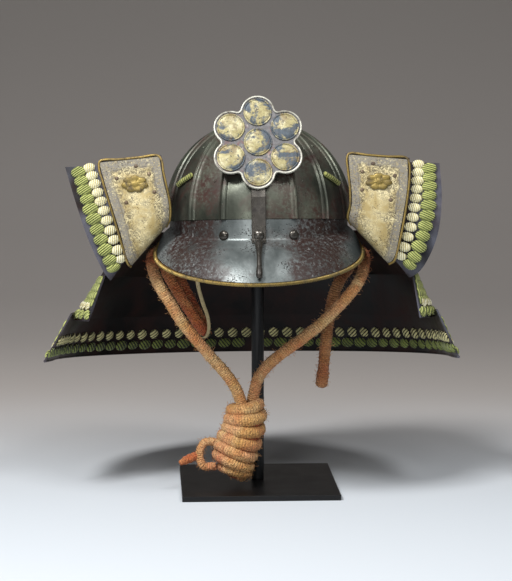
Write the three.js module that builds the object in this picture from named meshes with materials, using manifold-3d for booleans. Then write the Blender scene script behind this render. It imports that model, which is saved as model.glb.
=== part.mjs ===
// Kabuto helmet on its display stand. Millimetres, +Z up, the front faces -Y.
// The origin is the middle of the underside of the stand's base plate.
import * as THREE from 'three';
import { mergeVertices } from 'three/addons/utils/BufferGeometryUtils.js';
import Module from 'manifold-3d';

const wasm = await Module();
wasm.setup();

const degrees = THREE.MathUtils.degToRad;
const lerp = THREE.MathUtils.lerp;
const vec = (x, y, z) => new THREE.Vector3(x, y, z);

// Gap that neighbouring pieces keep
const GAP = 0.3;

// Stand
const BASE_SIDE = 180;
const BASE_THICK = 6.5;
const BASE_TURN = degrees(3);
const POST_RADIUS = 7.2;
const POST_TOP = 419;
const CAP_RADIUS = 42;
const CAP_THICK = 5;

// Place of the helmet: the bowl's base plane, tipped back and a little to its right
const HELMET_HEIGHT = 310;
const HELMET_SHIFT = 1;
const HELMET_PITCH = degrees(6.3);
const HELMET_ROLL = degrees(0.6);

// Bowl of lapped plates
const BOWL_HALF_WIDTH = 104.7;
const BOWL_HALF_LENGTH = 118;
const BOWL_RISE = 113;
const BOWL_FULLNESS = 2.1;
const PLATE_THICK = 1.6;
const PLATE_ROWS = 5;
const PLATE_TOP_ANGLE = degrees(77);
const WIDE_PLATE = degrees(45);
const SIDE_PLATES = 6;
const LAP_STEP = PLATE_THICK + 0.4;
const RIB_RISE = 2.2;
const CROWN_RADIUS = 33;

// Waist band under the plates
const BAND_INSET = 2.1;
const BAND_THICK = 2;
const BAND_TOP = 8;
const BAND_BOTTOM = -20;

// Visor
const VISOR_THICK = 2;
const VISOR_ROOT_ARC = degrees(72);
const VISOR_RIM_ARC = degrees(99);
const VISOR_TOP = -0.6;
const VISOR_FLANGE = -25;
const VISOR_FLANGE_END = -8;
const VISOR_RIM = { halfWidth: 114.5, middleY: -56, reach: 99, sideZ: -35, drop: 35.5 };
const VISOR_BULGE = 3;
const VISOR_RIM_RADIUS = 1.9;
const RIVET_RADIUS = 5.2;
const RIVET_HEIGHT = 3.6;
const RIVET_LEVEL = -18;
const RIVET_TURN = degrees(21.5);

// Crest and its holder
const STRAP_WIDTH = 15.8;
const STRAP_THICK = 3;
const STRAP_BOTTOM = -23.5;
const STRAP_BEND = 24;
const STRAP_TOP = 72;
const STRAP_BLOCK = { down: 0.1, clearance: 0.8, thick: 2.6 };
const PRONG_CLEARANCE = 5;
const CREST_LEAN = degrees(13.7);
const CREST_LEVEL = 84;
const CREST_LOBES = 6;
const CREST_RING = 34.5;
const CREST_LOBE_RADIUS = 19;
const CREST_HOLLOW_RING = 44.8;
const CREST_PLATE_THICK = 2.4;
const CREST_BEAD = { width: 2, height: 1.6 };
const CREST_DISC_RADIUS = 15.6;
const CREST_DISC_THICK = 1.5;

// Neck guard
const LAME_THICK = 1.8;
const LAME_LAP = 8;
const LAME_LAP_STEP = 3.4;
const LAME_TOP = { halfWidth: 103.9, z: -13 };
const BACK_SHARE = 0.68;
// Bottom edge of each lame, its reach to the front, its sideways sag, and how far its front ends turn in.
const LAMES = [
  { halfWidth: 147, z: -42, forward: 56, sag: 0, tuckTop: -15, tuckBottom: 0 },
  { halfWidth: 178, z: -63, forward: 50, sag: 0, tuckTop: -2.5, tuckBottom: 8 },
  { halfWidth: 207, z: -112, forward: 58, sag: -6, tuckTop: 5, tuckBottom: 20 },
  { halfWidth: 229, z: -157, forward: 53, sag: -9.5, tuckTop: 0, tuckBottom: -5 },
];

// Wings: each row gives the inner and outer edge of the turned-up lame end, from the roll to the top.
// Widths are [wearer's right, wearer's left], the left and right of the front view.
const WING_1 = [
  { inner: [108, 108], innerY: -70, innerZ: -7, outer: [146, 147], outerY: -68, outerZ: -49 },
  { inner: [101, 101], innerY: -80, innerZ: 3, outer: [148, 152], outerY: -79, outerZ: -46 },
  { inner: [99, 103], innerY: -84, innerZ: 20, outer: [156, 159], outerY: -86, outerZ: -14 },
  { inner: [104, 100], innerY: -84, innerZ: 47, outer: [171, 168], outerY: -85, outerZ: 34 },
  { inner: [108, 98], innerY: -81, innerZ: 73, outer: [180, 169], outerY: -81, outerZ: 67 },
];
const WING_2 = [
  { inner: [140, 140], innerY: -62, innerZ: -29, outer: [168, 170], outerY: -60, outerZ: -66 },
  { inner: [136, 136], innerY: -70, innerZ: -24, outer: [174, 182], outerY: -70, outerZ: -57 },
  { inner: [142, 140], innerY: -75, innerZ: 2, outer: [190, 199], outerY: -75, outerZ: -22 },
  { inner: [152, 148], innerY: -76, innerZ: 34, outer: [204, 205], outerY: -76, outerZ: 20 },
  { inner: [164, 156], innerY: -74, innerZ: 63, outer: [216, 203], outerY: -74, outerZ: 61 },
];
const WING_BULGE = 5;
const WING_COLUMNS = 8;
const FACING_THICK = 1.2;
const FACING_MARGIN = 0.065;
const FACING_TOP = 0.965;
const FACING_START = 0.24;
const WING_RIM_RADIUS = 1.7;
const RIM_INSET = 0.02;
const RIM_TOP = 0.985;
const EMBLEM = {
  width: 30, height: 19, thick: 2, lobes: 7, scallop: 0.1, spread: 0.46, along: 0.8, across: 0.5,
};

// Crown cords on the bowl
const CROWN_CORD = {
  radius: 2.4, from: degrees(48.5), to: degrees(63), low: degrees(19), high: degrees(25),
};

// Chin cord
const CORD_RADIUS = 6.25;
const CORD_SIDES = 8;
const CHIN_LOOP_ROUTE = [
  [-19.9, -46.9, 109.9], [-27, -49, 126], [-39, -50, 143], [-54, -53, 160], [-70, -56, 180], [-85, -58, 199],
  [-100, -58, 223], [-113, -55, 244], [-120, -42, 262], [-120, -26, 274], [-112, -13, 278], [-101, -3, 279],
  [-92, 7, 283], [-88, 18, 291], [-86, 32, 296], [-71, 67, 294], [-39.5, 95, 291], [0, 105, 290],
  [39.5, 95, 291], [71, 67, 294], [86, 32, 296], [88, 18, 291], [92, 7, 283], [101, -3, 279],
  [112, -13, 279], [121, -26, 275],
  [121, -42, 263], [115, -54, 247], [103, -57, 231], [80, -56, 206], [55, -54, 184], [30, -50, 165],
  [12, -44, 149], [0, -38, 131], [-5.2, -34.1, 109.8],
];
const LEFT_BIGHT_ROUTE = [
  [-106, -9, 268], [-105, -24, 256], [-95, -32, 238], [-81, -36, 216], [-69, -37, 197], [-62, -30, 187],
  [-64, -20, 193], [-75, -15, 214], [-87, -9, 238], [-95, 0, 257], [-97, 5, 268],
];
const RIGHT_END_ROUTE = [
  [106, -9, 269], [104, -23, 258], [95, -31, 247], [88, -33, 232], [84, -33, 214], [80, -31, 190],
  [77, -30, 160], [75, -30, 138], [73, -29, 120.5],
];
const KNOT_LOOP_ROUTE = [
  [-53.8, -38, 58.7], [-61, -40, 58], [-66, -42, 50], [-66.5, -43, 40], [-62.5, -44, 31.5], [-54.2, -43, 30.6],
];
const KNOT_LOOP_RADIUS = 4.5;
const KNOT_TAIL_ROUTE = [[-73.2, -42, 42], [-78, -43, 40], [-84, -44, 37.5], [-90, -45, 34.5]];
const KNOT_TAIL_RADIUS = 5;
const THONG_ROUTE = [
  [-66.6, -81.8, 302], [-69, -73, 284], [-69, -58, 262], [-68, -48, 242], [-63, -46, 222], [-57, -45, 204],
  [-56, -41, 189], [-60, -34, 179.5], [-66, -29, 178.6],
];
const THONG_WIDTH = 5;
const THONG_THICK = 1.6;

// Wound knot of the chin cord: middle, radius and slant of each wrap, from the top down
const KNOT_Y = -34.5;
const KNOT_END = 0.45;
const KNOT_STEPS = 3;
const KNOT_GROOVE = 2;
const KNOT_SIDES = 14;
const KNOT_WRAPS = [
  { x: -13.2, z: 100.5, radius: 21.9, slant: degrees(-7) },
  { x: -14.3, z: 88.5, radius: 25.4, slant: degrees(-4) },
  { x: -15.5, z: 74, radius: 24.8, slant: degrees(1) },
  { x: -20.7, z: 60, radius: 26.5, slant: degrees(10) },
  { x: -25.9, z: 49.5, radius: 27.7, slant: degrees(16) },
  { x: -29.5, z: 37.5, radius: 28, slant: degrees(17) },
  { x: -29, z: 26.5, radius: 24.5, slant: degrees(16) },
  { x: -27, z: 17.5, radius: 14.5, slant: degrees(11) },
];

const FINISH = {
  iron: { color: 0x4a4742, roughness: 0.45, metalness: 0.8 },
  steel: { color: 0x6f7679, roughness: 0.4, metalness: 0.85 },
  darkSteel: { color: 0x3a3b3d, roughness: 0.35, metalness: 0.85 },
  gilt: { color: 0xa8864a, roughness: 0.4, metalness: 0.85 },
  silver: { color: 0xb9b6ae, roughness: 0.45, metalness: 0.7 },
  goldLeaf: { color: 0xb89e62, roughness: 0.5, metalness: 0.55 },
  lacquer: { color: 0x17120f, roughness: 0.25, metalness: 0 },
  gildedLeather: { color: 0xcdbb8d, roughness: 0.6, metalness: 0.15 },
  greenSilk: { color: 0x8d9a55, roughness: 0.85, metalness: 0 },
  crepe: { color: 0xc08a5a, roughness: 0.9, metalness: 0 },
  thong: { color: 0xd9cba6, roughness: 0.75, metalness: 0 },
  stand: { color: 0x0c0c0d, roughness: 0.45, metalness: 0.4 },
};

// Closed geometry with shared vertices and its faces pointing out.
function closed(geometry) {
  const bare = geometry.index ? geometry.clone() : geometry;
  bare.deleteAttribute('normal');
  bare.deleteAttribute('uv');
  const merged = mergeVertices(bare, 1e-4);
  const position = merged.attributes.position;
  const index = Array.from(merged.index.array);
  const corner = (k) => new THREE.Vector3().fromBufferAttribute(position, k);
  const faces = [];
  let volume = 0;
  for (let i = 0; i < index.length; i += 3) {
    const [a, b, c] = index.slice(i, i + 3);
    if (a !== b && b !== c && c !== a) {
      faces.push([a, b, c]);
      volume += corner(a).dot(corner(b).cross(corner(c)));
    }
  }
  const outward = volume < 0 ? faces.map(([a, b, c]) => [a, c, b]) : faces;
  merged.setIndex(outward.flat());
  merged.computeVertexNormals();
  return merged;
}

function toSolid(geometry) {
  const mesh = closed(geometry);
  const vertProperties = new Float32Array(mesh.attributes.position.array);
  const triVerts = new Uint32Array(mesh.index.array);
  return new wasm.Manifold(new wasm.Mesh({ numProp: 3, vertProperties, triVerts }));
}

function fromSolid(solid) {
  const mesh = solid.getMesh();
  const geometry = new THREE.BufferGeometry();
  geometry.setAttribute('position', new THREE.BufferAttribute(mesh.vertProperties, 3));
  geometry.setIndex(new THREE.BufferAttribute(mesh.triVerts, 1));
  return geometry;
}

const joined = (first, second) => fromSolid(toSolid(first).add(toSolid(second)));

// Unit normals of a grid of points, rows by columns.
function gridNormals(grid) {
  const lastRow = grid.length - 1;
  const lastColumn = grid[0].length - 1;
  return grid.map((row, r) => row.map((_, c) => {
    const along = grid[r][Math.min(c + 1, lastColumn)].clone().sub(grid[r][Math.max(c - 1, 0)]);
    const across = grid[Math.min(r + 1, lastRow)][c].clone().sub(grid[Math.max(r - 1, 0)][c]);
    return along.cross(across).normalize();
  }));
}

// Closed wall of even thickness about a grid of mid-surface points, moved along its normals by offset.
function wall(grid, thickness, offset = 0) {
  const normals = gridNormals(grid);
  const rows = grid.length;
  const columns = grid[0].length;
  const points = [];
  for (const side of [offset + thickness / 2, offset - thickness / 2]) {
    grid.forEach((row, r) => {
      row.forEach((p, c) => points.push(p.clone().addScaledVector(normals[r][c], side)));
    });
  }
  const back = rows * columns;
  const at = (r, c) => r * columns + c;
  const faces = [];
  for (let r = 0; r < rows - 1; r += 1) {
    for (let c = 0; c < columns - 1; c += 1) {
      const [p, q, s, t] = [at(r, c), at(r, c + 1), at(r + 1, c), at(r + 1, c + 1)];
      faces.push(p, q, t, p, t, s, back + p, back + t, back + q, back + p, back + s, back + t);
    }
  }
  const border = [];
  for (let c = 0; c < columns - 1; c += 1) border.push(at(0, c));
  for (let r = 0; r < rows - 1; r += 1) border.push(at(r, columns - 1));
  for (let c = columns - 1; c > 0; c -= 1) border.push(at(rows - 1, c));
  for (let r = rows - 1; r > 0; r -= 1) border.push(at(r, 0));
  border.forEach((p, i) => {
    const q = border[(i + 1) % border.length];
    faces.push(p, back + p, back + q, p, back + q, q);
  });
  const geometry = new THREE.BufferGeometry();
  geometry.setFromPoints(points);
  geometry.setIndex(faces);
  return geometry;
}

// Round or oval rod along a smooth path through the given points.
function rod(points, halfWidth, sides, steps, halfThick = halfWidth) {
  const section = new THREE.Shape();
  for (let i = 0; i < sides; i += 1) {
    const angle = (i / sides) * 2 * Math.PI;
    const [x, y] = [halfThick * Math.cos(angle), halfWidth * Math.sin(angle)];
    if (i === 0) section.moveTo(x, y);
    else section.lineTo(x, y);
  }
  section.closePath();
  const extrudePath = new THREE.CatmullRomCurve3(points);
  return new THREE.ExtrudeGeometry(section, { steps, extrudePath, curveSegments: 1 });
}

// Rod whose radius changes from station to station, closed by flat ends.
function taperedRod(stations, sides) {
  const points = [];
  const faces = [];
  stations.forEach(({ at, radius }, i) => {
    const ahead = stations[Math.min(i + 1, stations.length - 1)].at;
    const behind = stations[Math.max(i - 1, 0)].at;
    const heading = ahead.clone().sub(behind).normalize();
    const right = vec(1, 0, 0);
    const up = heading.clone().cross(right).normalize();
    for (let k = 0; k < sides; k += 1) {
      const angle = (k / sides) * 2 * Math.PI;
      const spoke = right.clone().multiplyScalar(Math.cos(angle)).addScaledVector(up, Math.sin(angle));
      points.push(at.clone().addScaledVector(spoke, radius));
    }
  });
  const ring = (i, k) => i * sides + (k % sides);
  for (let i = 0; i < stations.length - 1; i += 1) {
    for (let k = 0; k < sides; k += 1) {
      faces.push(ring(i, k), ring(i, k + 1), ring(i + 1, k + 1));
      faces.push(ring(i, k), ring(i + 1, k + 1), ring(i + 1, k));
    }
  }
  const last = stations.length - 1;
  for (let k = 1; k < sides - 1; k += 1) {
    faces.push(ring(0, 0), ring(0, k + 1), ring(0, k), ring(last, 0), ring(last, k), ring(last, k + 1));
  }
  const geometry = new THREE.BufferGeometry();
  geometry.setFromPoints(points);
  geometry.setIndex(faces);
  return geometry;
}

// Solid of revolution about Z from [radius, z] pairs, stretched along Y.
function turned(profile, segments, stretch = 1) {
  const points = profile.map(([radius, z]) => new THREE.Vector2(radius, z));
  const geometry = new THREE.LatheGeometry(points, segments);
  geometry.rotateX(Math.PI / 2);
  geometry.scale(1, stretch, 1);
  return geometry;
}

function addPiece(parent, name, geometry, finish) {
  const mesh = new THREE.Mesh(closed(geometry), new THREE.MeshStandardMaterial(FINISH[finish]));
  mesh.name = name;
  parent.add(mesh);
}

// Point of the bowl: turn from the front towards +X, rise angle above the base plane, offset outwards.
function bowlPoint(turn, rise, offset) {
  const spread = Math.cos(rise) ** (2 / BOWL_FULLNESS);
  const height = Math.sin(rise) ** (2 / BOWL_FULLNESS);
  return vec(
    (BOWL_HALF_WIDTH + offset) * spread * Math.sin(turn),
    -(BOWL_HALF_LENGTH + offset) * spread * Math.cos(turn),
    (BOWL_RISE + offset) * height,
  );
}

// Columns across a plate: distance from its seam in mm and the lift of the sheet there.
const LAPPING_EDGE = [
  { inward: 5.2, lift: 0, rib: 0 },
  { inward: 2.8, lift: 1, rib: 0 },
  { inward: 0, lift: 1, rib: 0 },
  { inward: -1.5, lift: 1, rib: 1 },
];
const TUCKED_EDGE = [{ inward: 1.2, lift: 0, rib: 0 }];
const PLATE_MIDDLES = 2;
const WIDE_PLATE_MIDDLES = 5;

// Plate between two seams; each edge either laps over its neighbour with a turned-up rib or is tucked under.
function bowlPlate(start, end, startLaps, endLaps, middles = PLATE_MIDDLES) {
  const grid = [];
  const tucked = TUCKED_EDGE.map((c) => ({ ...c, inward: -c.inward }));
  const edgeColumns = (laps) => (laps ? LAPPING_EDGE : tucked);
  for (let r = 0; r <= PLATE_ROWS; r += 1) {
    const rise = (r / PLATE_ROWS) * PLATE_TOP_ANGLE;
    const radius = BOWL_HALF_WIDTH * Math.cos(rise) ** (2 / BOWL_FULLNESS);
    const fade = 1 - (r / PLATE_ROWS) ** 4;
    const lift = (column) => column.lift * LAP_STEP + column.rib * RIB_RISE * fade;
    const leftEdge = (c) => bowlPoint(start + c.inward / radius, rise, lift(c));
    const left = edgeColumns(startLaps).map(leftEdge).reverse();
    const right = edgeColumns(endLaps).map((c) => bowlPoint(end - c.inward / radius, rise, lift(c)));
    const middle = [];
    for (let m = 1; m <= middles; m += 1) {
      middle.push(bowlPoint(lerp(start, end, m / (middles + 1)), rise, 0));
    }
    grid.push([...left, ...middle, ...right]);
  }
  return wall(grid, PLATE_THICK);
}

function addBowl(helmet) {
  const half = WIDE_PLATE / 2;
  const sideWidth = (Math.PI - WIDE_PLATE) / SIDE_PLATES;
  const front = bowlPlate(-half, half, true, true, WIDE_PLATE_MIDDLES);
  const back = bowlPlate(Math.PI - half, Math.PI + half, false, false, WIDE_PLATE_MIDDLES);
  addPiece(helmet, 'bowl_plate_front', front, 'iron');
  addPiece(helmet, 'bowl_plate_back', back, 'iron');
  for (let i = 0; i < SIDE_PLATES; i += 1) {
    const near = half + i * sideWidth;
    const far = near + sideWidth;
    addPiece(helmet, `bowl_plate_left_${i + 1}`, bowlPlate(-far, -near, true, false), 'iron');
    addPiece(helmet, `bowl_plate_right_${i + 1}`, bowlPlate(near, far, false, true), 'iron');
  }

  const stretch = BOWL_HALF_LENGTH / BOWL_HALF_WIDTH;
  const outer = BOWL_HALF_WIDTH - BAND_INSET;
  const inner = outer - BAND_THICK;
  const lower = [[inner, BAND_BOTTOM], [outer, BAND_BOTTOM]];
  const ring = [...lower, [outer, BAND_TOP], [inner, BAND_TOP], lower[0]];
  addPiece(helmet, 'bowl_waist_band', turned(ring, 36, stretch), 'iron');

  const under = LAP_STEP + PLATE_THICK / 2 + GAP;
  const crown = [...domeArc(CROWN_RADIUS, under + PLATE_THICK), ...domeArc(CROWN_RADIUS, under).reverse()];
  addPiece(helmet, 'bowl_crown_plate', turned(crown, 20, stretch), 'iron');
}

// Arc of the bowl's crown from the axis out to a radius, as [radius, z] pairs.
function domeArc(radius, offset) {
  const arc = [];
  const steps = 4;
  for (let i = 0; i <= steps; i += 1) {
    const r = (i / steps) * radius;
    const share = 1 - (r / (BOWL_HALF_WIDTH + offset)) ** BOWL_FULLNESS;
    arc.push([r, (BOWL_RISE + offset) * share ** (1 / BOWL_FULLNESS)]);
  }
  return arc;
}

// Offset of the visor's flange from the bowl's base outline
const FLANGE_OFFSET = -BAND_INSET + GAP + VISOR_THICK / 2;

function visorPoint(share, down) {
  const turn = share * VISOR_ROOT_ARC;
  const root = bowlPoint(turn, 0, FLANGE_OFFSET);
  const rimTurn = share * VISOR_RIM_ARC;
  const rim = vec(
    VISOR_RIM.halfWidth * Math.sin(rimTurn),
    VISOR_RIM.middleY - VISOR_RIM.reach * Math.cos(rimTurn),
    VISOR_RIM.sideZ - VISOR_RIM.drop * Math.cos(rimTurn),
  );
  const flange = lerp(VISOR_FLANGE, VISOR_FLANGE_END, Math.abs(share) ** 3);
  if (down < 0) return root.setZ(lerp(flange, VISOR_TOP, -down));
  const point = root.setZ(flange).lerp(rim, down);
  const bulge = VISOR_BULGE * Math.sin(Math.PI * down);
  return point.add(vec(bulge * Math.sin(turn), -bulge * Math.cos(turn), bulge));
}

function addVisor(helmet) {
  const columns = 22;
  const levels = [-1, 0, 0.33, 0.67, 1];
  const shareAt = (c) => (2 * c) / columns - 1;
  const row = (down) => Array.from({ length: columns + 1 }, (_, c) => visorPoint(shareAt(c), down));
  addPiece(helmet, 'visor', wall(levels.map(row), VISOR_THICK), 'steel');

  // The twisted rim runs just outside the lower edge and up both ends.
  const outward = VISOR_RIM_RADIUS + 5 * GAP;
  const middle = vec(0, VISOR_RIM.middleY, 0);
  const away = (p) => p.clone().sub(middle).setZ(0).normalize();
  const sink = vec(0, 0, -outward * 0.6);
  const lowerEdge = row(1).map((p) => p.clone().addScaledVector(away(p), outward * 0.8).add(sink));
  const behind = (share) => vec(-share * 4 * GAP, outward + VISOR_THICK + GAP, 0);
  const endRise = (share) => [0.62, 0.36].map((down) => visorPoint(share, down).add(behind(share)));
  const path = [...endRise(-1).reverse(), ...lowerEdge, ...endRise(1)];
  addPiece(helmet, 'visor_rim', rod(path, VISOR_RIM_RADIUS, 6, 38), 'gilt');

  const flange = FLANGE_OFFSET + VISOR_THICK / 2;
  const strap = -STRAP_Y - BOWL_HALF_LENGTH + STRAP_THICK;
  for (const [name, turn, seat] of [
    ['visor_rivet_left', -RIVET_TURN, flange],
    ['visor_rivet_right', RIVET_TURN, flange],
    ['visor_rivet_centre', 0, strap],
  ]) {
    const place = bowlPoint(turn, 0, seat + GAP).setZ(RIVET_LEVEL);
    const outwards = vec(Math.sin(turn) / BOWL_HALF_WIDTH, -Math.cos(turn) / BOWL_HALF_LENGTH, 0);
    outwards.normalize();
    const dome = turned([[0, 0], [RIVET_RADIUS, 0], [RIVET_RADIUS * 0.97, 1], [RIVET_RADIUS * 0.6, RIVET_HEIGHT * 0.8],
      [0, RIVET_HEIGHT]], 12);
    dome.applyQuaternion(new THREE.Quaternion().setFromUnitVectors(vec(0, 0, 1), outwards));
    dome.translate(place.x, place.y, place.z);
    addPiece(helmet, name, dome, 'darkSteel');
  }
}

// Back face of the strap, just clear of the front plate and the visor's flange
const STRAP_Y = -(BOWL_HALF_LENGTH + PLATE_THICK / 2 + GAP);

// Middle line of the strap's back face at a level: upright over the flange, then leaning with the crest.
function strapBackY(z) {
  return z < STRAP_BEND ? STRAP_Y : STRAP_Y + (z - STRAP_BEND) * Math.tan(CREST_LEAN);
}

function addCrestHolder(helmet) {
  const outline = new THREE.Shape();
  const front = (z) => strapBackY(z) - STRAP_THICK;
  const outwards = vec(0, -0.79, 0.61);
  const overVisor = (down, clearance) => (
    visorPoint(0, down).addScaledVector(outwards, VISOR_THICK / 2 + clearance)
  );
  const blockBack = overVisor(STRAP_BLOCK.down, STRAP_BLOCK.clearance);
  const blockFront = overVisor(STRAP_BLOCK.down, STRAP_BLOCK.clearance + STRAP_BLOCK.thick);
  outline.moveTo(blockBack.y, blockBack.z);
  outline.lineTo(STRAP_Y, STRAP_BOTTOM);
  outline.lineTo(STRAP_Y, STRAP_BEND);
  outline.lineTo(strapBackY(STRAP_TOP), STRAP_TOP);
  outline.lineTo(front(STRAP_TOP), STRAP_TOP);
  outline.lineTo(front(STRAP_BEND), STRAP_BEND);
  outline.lineTo(front(STRAP_BOTTOM), STRAP_BOTTOM);
  outline.lineTo(blockFront.y, blockFront.z);
  outline.closePath();
  const strap = new THREE.ExtrudeGeometry(outline, { depth: STRAP_WIDTH, bevelEnabled: false });
  strap.translate(0, 0, -STRAP_WIDTH / 2);
  strap.applyMatrix4(new THREE.Matrix4().makeBasis(vec(0, 1, 0), vec(0, 0, 1), vec(1, 0, 0)));

  // The prong follows the visor's slope a little above it, thin in the middle with a bulb at its end.
  const prong = [
    { down: 0.06, radius: 2.4 }, { down: 0.14, radius: 4.4 }, { down: 0.32, radius: 3.4 },
    { down: 0.5, radius: 2.6 }, { down: 0.72, radius: 2.7 }, { down: 0.84, radius: 3.6 },
    { down: 0.93, radius: 3.4 }, { down: 0.97, radius: 1.6 },
  ];
  const stations = prong.map(({ down, radius }) => ({ at: overVisor(down, PRONG_CLEARANCE), radius }));
  addPiece(helmet, 'crest_holder', joined(strap, taperedRod(stations, 10)), 'darkSteel');
}

// Outline of the crest: round lobes joined by small hollows, set in by a margin.
function lobedOutline(margin) {
  const step = (2 * Math.PI) / CREST_LOBES;
  const towards = new THREE.Vector2(Math.cos(step / 2), Math.sin(step / 2));
  towards.multiplyScalar(CREST_HOLLOW_RING);
  towards.x -= CREST_RING;
  const reach = towards.angle();
  const hollow = towards.length() - CREST_LOBE_RADIUS + margin;
  const points = [];
  const addArc = (middle, ring, radius, from, to, segments) => {
    for (let k = 0; k < segments; k += 1) {
      const angle = lerp(from, to, k / segments);
      points.push(new THREE.Vector2(
        ring * Math.cos(middle) + radius * Math.cos(angle),
        ring * Math.sin(middle) + radius * Math.sin(angle),
      ));
    }
  };
  for (let i = 0; i < CREST_LOBES; i += 1) {
    const angle = Math.PI / 2 + i * step;
    const back = Math.PI + angle + reach;
    addArc(angle, CREST_RING, CREST_LOBE_RADIUS - margin, angle - reach, angle + reach, 7);
    addArc(angle + step / 2, CREST_HOLLOW_RING, hollow, back, back + step - 2 * reach, 3);
  }
  return new THREE.Shape(points);
}

function addCrest(helmet) {
  const crest = new THREE.Group();
  crest.rotation.x = Math.PI / 2 - CREST_LEAN;
  crest.position.set(0, strapBackY(CREST_LEVEL) - (STRAP_THICK + GAP) / Math.cos(CREST_LEAN), CREST_LEVEL);
  helmet.add(crest);

  const plate = new THREE.ExtrudeGeometry(lobedOutline(0), {
    depth: CREST_PLATE_THICK, bevelEnabled: false,
  });
  const border = lobedOutline(0);
  border.holes.push(new THREE.Path(lobedOutline(CREST_BEAD.width).getPoints()));
  const bead = new THREE.ExtrudeGeometry(border, {
    depth: CREST_PLATE_THICK + CREST_BEAD.height, bevelEnabled: false,
  });
  addPiece(crest, 'crest_plate', joined(plate, bead), 'silver');

  const profile = [[0, 0], [CREST_DISC_RADIUS, 0], [CREST_DISC_RADIUS, CREST_DISC_THICK * 0.7],
    [CREST_DISC_RADIUS * 0.9, CREST_DISC_THICK], [0, CREST_DISC_THICK * 1.2]];
  for (let i = 0; i <= CREST_LOBES; i += 1) {
    const angle = Math.PI / 2 + (i / CREST_LOBES) * 2 * Math.PI;
    const ring = i === CREST_LOBES ? 0 : CREST_RING;
    const disc = turned(profile, 16);
    disc.translate(ring * Math.cos(angle), ring * Math.sin(angle), CREST_PLATE_THICK + GAP);
    addPiece(crest, i === CREST_LOBES ? 'crest_disc_centre' : `crest_disc_${i + 1}`, disc, 'goldLeaf');
  }
}

// Upper edge of a lame: under the waist band, or lapping outside the lame above it.
function lameTop(number) {
  if (number === 0) return { ...LAME_TOP, sag: 0 };
  const above = LAMES[number - 1];
  const own = LAMES[number];
  const slope = vec(own.halfWidth - above.halfWidth, 0, own.z - above.z).normalize();
  return {
    halfWidth: above.halfWidth - LAME_LAP * slope.x - LAME_LAP_STEP * slope.z,
    z: above.z - LAME_LAP * slope.z + LAME_LAP_STEP * slope.x,
    sag: above.sag,
  };
}

const LAME_ROWS = [0, 1 / 3, 2 / 3, 1];

// One column of a lame's mid-surface. Station 0 is the middle of the back, 1 the side, 2 the front end.
function lameColumn(number, side, station) {
  const top = lameTop(number);
  const bottom = LAMES[number];
  return LAME_ROWS.map((v) => {
    const halfWidth = lerp(top.halfWidth, bottom.halfWidth, v);
    const back = BOWL_HALF_LENGTH + BACK_SHARE * (halfWidth - LAME_TOP.halfWidth);
    const turn = Math.min(station, 1) * (Math.PI / 2);
    const ahead = Math.max(station - 1, 0);
    const spread = halfWidth * Math.sin(turn) - ahead ** 2 * lerp(bottom.tuckTop, bottom.tuckBottom, v);
    const sag = lerp(top.sag, bottom.sag, v);
    return vec(side * spread + sag, back * Math.cos(turn) - ahead * bottom.forward, lerp(top.z, bottom.z, v));
  });
}

// Curves of a wing's inner and outer edge, starting at the front end of its lame.
function wingEdges(rows, number, side) {
  const sideIndex = side < 0 ? 0 : 1;
  const end = lameColumn(number, side, 2);
  const inner = rows.map((row) => vec(side * row.inner[sideIndex], row.innerY, row.innerZ));
  const outer = rows.map((row) => vec(side * row.outer[sideIndex], row.outerY, row.outerZ));
  return {
    inner: new THREE.CatmullRomCurve3([end[0], ...inner]),
    outer: new THREE.CatmullRomCurve3([end[LAME_ROWS.length - 1], ...outer]),
  };
}

// Point of a wing: along from the lame's end to the wing's top, across from inner to outer edge.
function wingPoint(edges, along, across) {
  const point = edges.inner.getPoint(along).lerp(edges.outer.getPoint(along), across);
  const bulge = WING_BULGE * Math.sin(Math.PI * across) * Math.sin(Math.PI * Math.min(along * 1.3, 1));
  return point.add(vec(0, -bulge, 0));
}

// Unit normal of a wing towards the front.
function wingFront(edges, side, along, across) {
  const step = 0.04;
  const upward = wingPoint(edges, Math.min(along + step, 1), across);
  upward.sub(wingPoint(edges, along - step, across));
  const sideways = wingPoint(edges, along, across + step).sub(wingPoint(edges, along, across - step));
  return sideways.multiplyScalar(side).cross(upward).normalize();
}

function addNeckGuard(helmet) {
  const stations = [];
  for (let turn = 0; turn < 6; turn += 1) stations.push(turn / 6);
  stations.push(1, 1.35, 1.7, 2);
  LAMES.forEach((_, number) => {
    const rows = [WING_1, WING_2][number];
    const half = (side) => {
      const columns = stations.map((station) => lameColumn(number, side, station));
      if (rows) {
        const edges = wingEdges(rows, number, side);
        for (let i = 1; i <= WING_COLUMNS; i += 1) {
          columns.push(LAME_ROWS.map((v) => wingPoint(edges, i / WING_COLUMNS, v)));
        }
      }
      return columns;
    };
    const grid = [...half(-1).slice(1).reverse(), ...half(1)];
    addPiece(helmet, `lame_${number + 1}`, wall(grid, LAME_THICK), 'lacquer');
  });
}

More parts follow.
